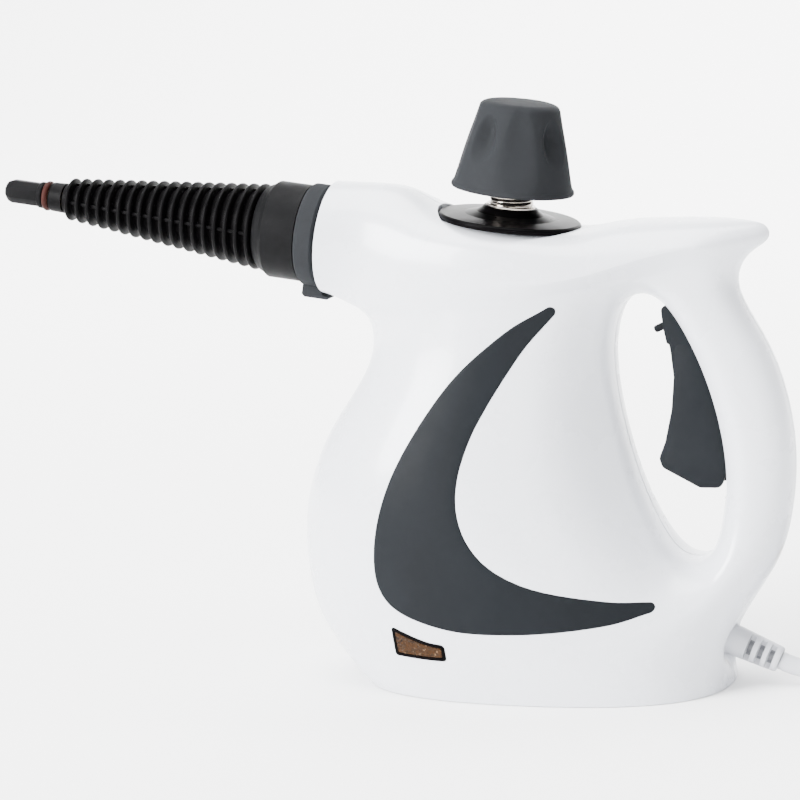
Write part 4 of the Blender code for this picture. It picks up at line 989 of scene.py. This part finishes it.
def make_nozzle():
    def piece(name, shape, slot, node, **finish):
        add_piece(name, shape, slot, "nozzle", [node], **finish)

    base = fillet([(3.5, 49.6), (15.4, 49.6), (16.7, 48.3), (17.7, 46.1), (18.9, 44.5), (18.9, 31.3)], 0.5,
                  closed=False)
    piece("cone_base", lathe(base + [(12.1, 31.3), (12.1, 15.2), (3.5, 15.2)], NOZZLE, 128, closed=True),
          "black_nylon", "nozzle_base", look="charcoal_abs")
    profile = [(4.4, 134.2), (5.3, 134.2), (5.6, 133.9), (5.7, 132.2)]
    for i in reversed(range(RIB_COUNT)):
        s = RIB_FIRST_S + RIB_PITCH * i
        crest = RIB_LARGE_RADIUS + (RIB_SMALL_RADIUS - RIB_LARGE_RADIUS) * i / (RIB_COUNT - 1)
        root = crest - RIB_DEPTH
        profile += [(root + 0.15, s + 1.5), (root + 0.9, s + 1.0), (crest - RIB_ROUND, s + 0.86)]
        for degrees in (60, 30, 0, -30, -60):
            turn = math.radians(degrees)
            profile.append((crest - RIB_ROUND + RIB_ROUND * math.cos(turn), s + 0.8 * math.sin(turn)))
        profile += [(crest - RIB_ROUND, s - 0.86), (root + 0.9, s - 1.0), (root + 0.15, s - 1.4)]
    profile.append((4.4, RIB_FIRST_S - 1.4))
    work = lathe(profile, NOZZLE, 112, closed=True)
    last = RIB_FIRST_S + RIB_PITCH * (RIB_COUNT - 1)
    web = [(6.0, RIB_FIRST_S), (RIB_LARGE_RADIUS - WEB_DROP, RIB_FIRST_S), (RIB_SMALL_RADIUS - WEB_DROP, last),
           (5.0, last)]
    for i in range(4):
        turn = NOZZLE @ Matrix.Rotation(WEB_TURN + i * math.pi / 2, 4, "Z")
        append(work, prism(web, -0.6, 0.6, turn, (0.2, 2, 50)))
    piece("cone", work, "black_nylon", "ribbed_cone", sharp=40)
    neck = fillet([(3.5, 140.4), (5.3, 140.4), (5.75, 139.7), (5.95, 134.6)], 0.4, closed=False)
    piece("tip_collar", lathe(neck + [(3.5, 134.6)], NOZZLE, 72, closed=True), "black_nylon", "nozzle_collar")
    wire = [2 * math.pi * i / 20 for i in range(0, -20, -1)]
    ring = [(4.75 + 1.2 * math.cos(turn), 141.95 + 1.2 * math.sin(turn)) for turn in wire]
    piece("seal_ring", lathe(ring, NOZZLE, 72, closed=True), "red_silicone", "tip_o_ring")
    tip = [(1.2, 160.1), (2.8, 160.1), (4.15, 159.0), (4.9, 157.2), (4.9, 145.4), (4.4, 145.2), (4.4, 143.6),
           (1.2, 143.6)]
    work = lathe(tip, NOZZLE @ Matrix.Rotation(math.pi / 8, 4, "Z"), 8, closed=True)
    bevelled(work, 0.18, 2, 20)
    lip = fillet([(4.0, 145.6), (4.9, 145.6), (5.25, 145.2), (5.25, 144.0), (4.9, 143.5), (4.0, 143.5)], 0.25)
    append(work, lathe(lip, NOZZLE, 64, closed=True))
    piece("tip", work, "dark_grey_abs", "nozzle_tip", sharp=30, look="charcoal_abs")


# Grip: trigger and its lock peg.

TRIGGER_FRONT = ((114.7, 119.3), (113.4, 106.8), (110.4, 94.4), (107.9, 88.4), (109.0, 84.8), (123.3, 77.2))
TRIGGER_OUTLINE = ((112.6, 147.2), (110.6, 145.6), (111.2, 138.6), (112.4, 132.4), (113.4, 132.0), (113.8, 129.5),
                   *TRIGGER_FRONT, (128.4, 77.2), (130.4, 84.0), (129.4, 100.0), (126.0, 118.0), (123.8, 132.0),
                   (124.6, 140.0), (124.4, 147.2))
TRIGGER_SIDES = ((115.5, 132.5), *TRIGGER_FRONT, (131.4, 77.2), (134.2, 84.0), (133.0, 100.0), (129.4, 118.0),
                 (124.4, 132.0))
TRIGGER_ARM = ((118.0, 145.0), (124.2, 145.0), (124.2, 161.5), (118.0, 161.5))
PEG_PLACE = (112.1, 0.0, 139.1)
PEG_TILT = math.radians(24)


def make_trigger():
    """A hollow lever: its front and two side walls that reach back into the grip, and an arm above the pin."""
    work = prism(fillet(TRIGGER_OUTLINE, 6.0, segments=5), -7.5, 7.5, bevel=(0.5, 3, 40))
    sides = fillet(TRIGGER_SIDES, 3.0, segments=4)
    append(work, prism(sides, -7.52, -5.6, bevel=(0.3, 2, 40)), prism(sides, 5.6, 7.52, bevel=(0.3, 2, 40)),
           prism(fillet(TRIGGER_ARM, 1.0), -3.45, 3.45, bevel=(0.4, 2, 40)))
    add_piece("trigger_lever", work, "dark_grey_abs", "trigger", ["trigger"])
    peg = fillet([(0, -6.3), (1.1, -6.3), (1.4, -5.7), (1.4, 3.6), (0, 3.6)], 0.35, closed=False)
    add_piece("lock_peg", lathe(peg, axis_at(PEG_PLACE, math.pi / 2 - PEG_TILT), 40), "dark_grey_abs",
              "trigger_lock", ["trigger_lock"])


# Strain relief of the lead.

RELIEF_LENGTH = 24.4
RELIEF_SLOTS = (12.2, 16.6, 20.8)
RELIEF_ROUND_START = 23.2
POCKET_DEPTH = 3.4
POCKETS_FROM, POCKETS_TO = 9.0, 23.0
# The pocket floors picked out below get a darker grey as painted shade.
PAINTED_SHADE_REACH = 3.2  # the faces nearer to the boot's axis than this are the pockets'


def make_relief():
    """A tapered boot with three pockets moulded into each side; the pockets' floors are painted a darker grey as
    shade.
    """
    rows = []
    for s in [-2.0, 0.6, 3.0, 6.0] + [6.8 + 0.2 * i for i in range(81)] + [23.4, 23.9, 24.25, RELIEF_LENGTH]:
        radius = 6.05 - max(0.0, s - 3.0) / 21.4
        if s > RELIEF_ROUND_START:
            radius -= 0.9 * (1 - math.sqrt(max(0.0, 1 - ((s - RELIEF_ROUND_START) / 1.2) ** 2)))
        pocket = max(0.0, *(1 - max(0.0, abs(s - slot) - 1.0) / 0.2 for slot in RELIEF_SLOTS))

        def reach(turn):
            beside = share((abs(math.sin(turn)) - 0.25) / 0.1)
            return radius - POCKET_DEPTH * min(1.0, pocket) * beside
        rows.append(ring_at(RELIEF, reach, s, 96))
    boot = add_piece("relief_boot", capped_tube(rows), "pale_pvc", "housing", ["strain_relief"], 30)
    # The pockets' floors get the darker grey: painted shade where the recesses are shaded.
    boot.data.materials.append(MATERIALS["pocket_painted_shade"])
    to_relief = RELIEF.inverted()
    for face in boot.data.polygons:
        middle = to_relief @ face.center
        if POCKETS_FROM < middle.z < POCKETS_TO and math.hypot(middle.x, middle.y) < PAINTED_SHADE_REACH:
            face.material_index = 1


# Springs, each a fixed coil between its low and high ends.

# piece, CAD node, bodies at the low and high ends, place, coil radius, low and high ends, turns, wire radius
SPRINGS = (
    ("cap_coil", "cap_spring", ("cap_insert", "cap_knob"), FILLER, 6.0, 32.0, 38.6, 2, 0.5),
    ("trigger_coil", "trigger_spring", ("trigger", "housing"), axis_at((130.0, 0, 96.0), math.pi / 2),
     3.4, 0.9, 21.4, 6, 0.5),
    ("valve_coil", "valve_spring", ("housing", "valve_plunger"), axis_at((96.2, 0, 158.0), math.pi / 2),
     3.2, 0.9, 9.8, 4, 0.45),
)
WIRE_STEPS = 10
STEPS_PER_COIL = 24


def make_springs():
    around = [2 * math.pi * k / WIRE_STEPS for k in range(WIRE_STEPS)]
    for name, node, bodies, place, radius, low, high, turns, wire in SPRINGS:
        rows = []
        for i in range(turns * STEPS_PER_COIL + 1):
            turn = 2 * math.pi * i / STEPS_PER_COIL
            height = low + (high - low) * i / (turns * STEPS_PER_COIL)
            rows.append([polar(place, radius + wire * math.cos(a), turn, height + wire * math.sin(a))
                         for a in around])
        coil = add_piece(name, capped_tube(rows), "steel", None, [node], 50)
        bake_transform(coil)


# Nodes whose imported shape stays, with better finishes.

KEPT = {
    "white_abs": ("base_plate",), "mid_grey_abs": ("cap_insert",), "red_silicone": ("cap_seal", "boiler_gasket"),
    "black_nylon": ("nozzle_socket",), "aluminium": ("boiler_lower", "boiler_upper"),
    "brass": ("nozzle_tube", "valve_body", "valve_plunger", "steam_inlet_pipe", "steam_outlet_pipe"),
    "dark_grey_abs": ("terminal_block", "cord_clamp"), "amber_lens": ("indicator_lamp",),
}  # the others are steel


def finish_kept_nodes():
    finishes = {node: slot for slot, nodes in KEPT.items() for node in nodes}
    for name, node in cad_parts.items():
        node.data.materials.clear()
        node.data.materials.append(MATERIALS[finishes.get(name, "steel")])


make_shells()
make_crescents()
make_window()
make_collar()
make_neck()
make_cap()
make_lock_ring()
make_nozzle()
make_trigger()
make_relief()
make_springs()
finish_kept_nodes()


# Floor and light.

FLOOR_DROP = 0.0001
FLOOR_HALF_WIDTH = 7.0
WALL_FOOT_Y = 1.6
COVE_RADIUS = 1.2
WALL_TOP_Z = 4.5
OBJECT_MIDDLE = (0.0, 0.0, 0.1)
AREA_LIGHTS = (  # name, place, aim, size and watts
    ("key", (-1.6, -1.6, 1.1), OBJECT_MIDDLE, (1.2, 1.5), 265),
    ("fill", (1.0, -2.2, 0.7), OBJECT_MIDDLE, (1.2, 1.4), 22),
    ("top", (-0.1, 0.0, 2.0), OBJECT_MIDDLE, (2.0, 1.6), 130),
    ("back", (0.0, 1.2, 1.7), (0.0, 2.6, 0.6), (3.0, 1.0), 200),
    ("front_floor", (0.0, -2.6, 1.6), (0.0, -4.8, 0.0), (4.0, 1.2), 260),
)
OVERHEAD_POWER = 1.6
OVERHEAD_SPREAD = 100.0
WORLD_STRENGTH = 0.38


def make_stage():
    """A floor that curves up into a wall behind the object."""
    profile = [(-9.0, 0.0), (-4.0, 0.0), (WALL_FOOT_Y, 0.0)]
    for degrees in range(10, 91, 10):
        turn = math.radians(degrees)
        profile.append((WALL_FOOT_Y + COVE_RADIUS * math.sin(turn), COVE_RADIUS * (1 - math.cos(turn))))
    profile.append((WALL_FOOT_Y + COVE_RADIUS, WALL_TOP_Z))
    work = bmesh.new()
    skin_grid(work, [[Vector((x, y, z - FLOOR_DROP)) for x in (-FLOOR_HALF_WIDTH, FLOOR_HALF_WIDTH)]
                     for y, z in profile])
    mesh = mesh_from(work, "floor")
    mesh.shade_smooth()
    floor = linked("floor", mesh)
    material, shader = blank_material("paper_floor")[:2]
    feed(shader, Base_Color=(0.96, 0.96, 0.96, 1.0), Roughness=0.9, Specular_IOR_Level=0.1)
    mesh.materials.append(material)


def add_light(name, kind, power):
    data = bpy.data.lights.new(name, kind)
    data.energy = power
    return linked(name, data)


def make_lights():
    for name, place, aim, size, power in AREA_LIGHTS:
        light = add_light(name, "AREA", power)
        light.data.shape = "RECTANGLE"
        light.data.size, light.data.size_y = size
        light.location = place
        light.rotation_euler = (Vector(aim) - Vector(place)).to_track_quat("-Z", "Y").to_euler()
    overhead = add_light("overhead", "SUN", OVERHEAD_POWER)
    overhead.data.angle = math.radians(OVERHEAD_SPREAD)
    world = bpy.data.worlds.new("studio")
    world.use_nodes = True
    feed(world.node_tree.nodes["Background"], Color=(1.0, 1.0, 1.0, 1.0), Strength=WORLD_STRENGTH)
    bpy.context.scene.world = world


make_stage()
make_lights()
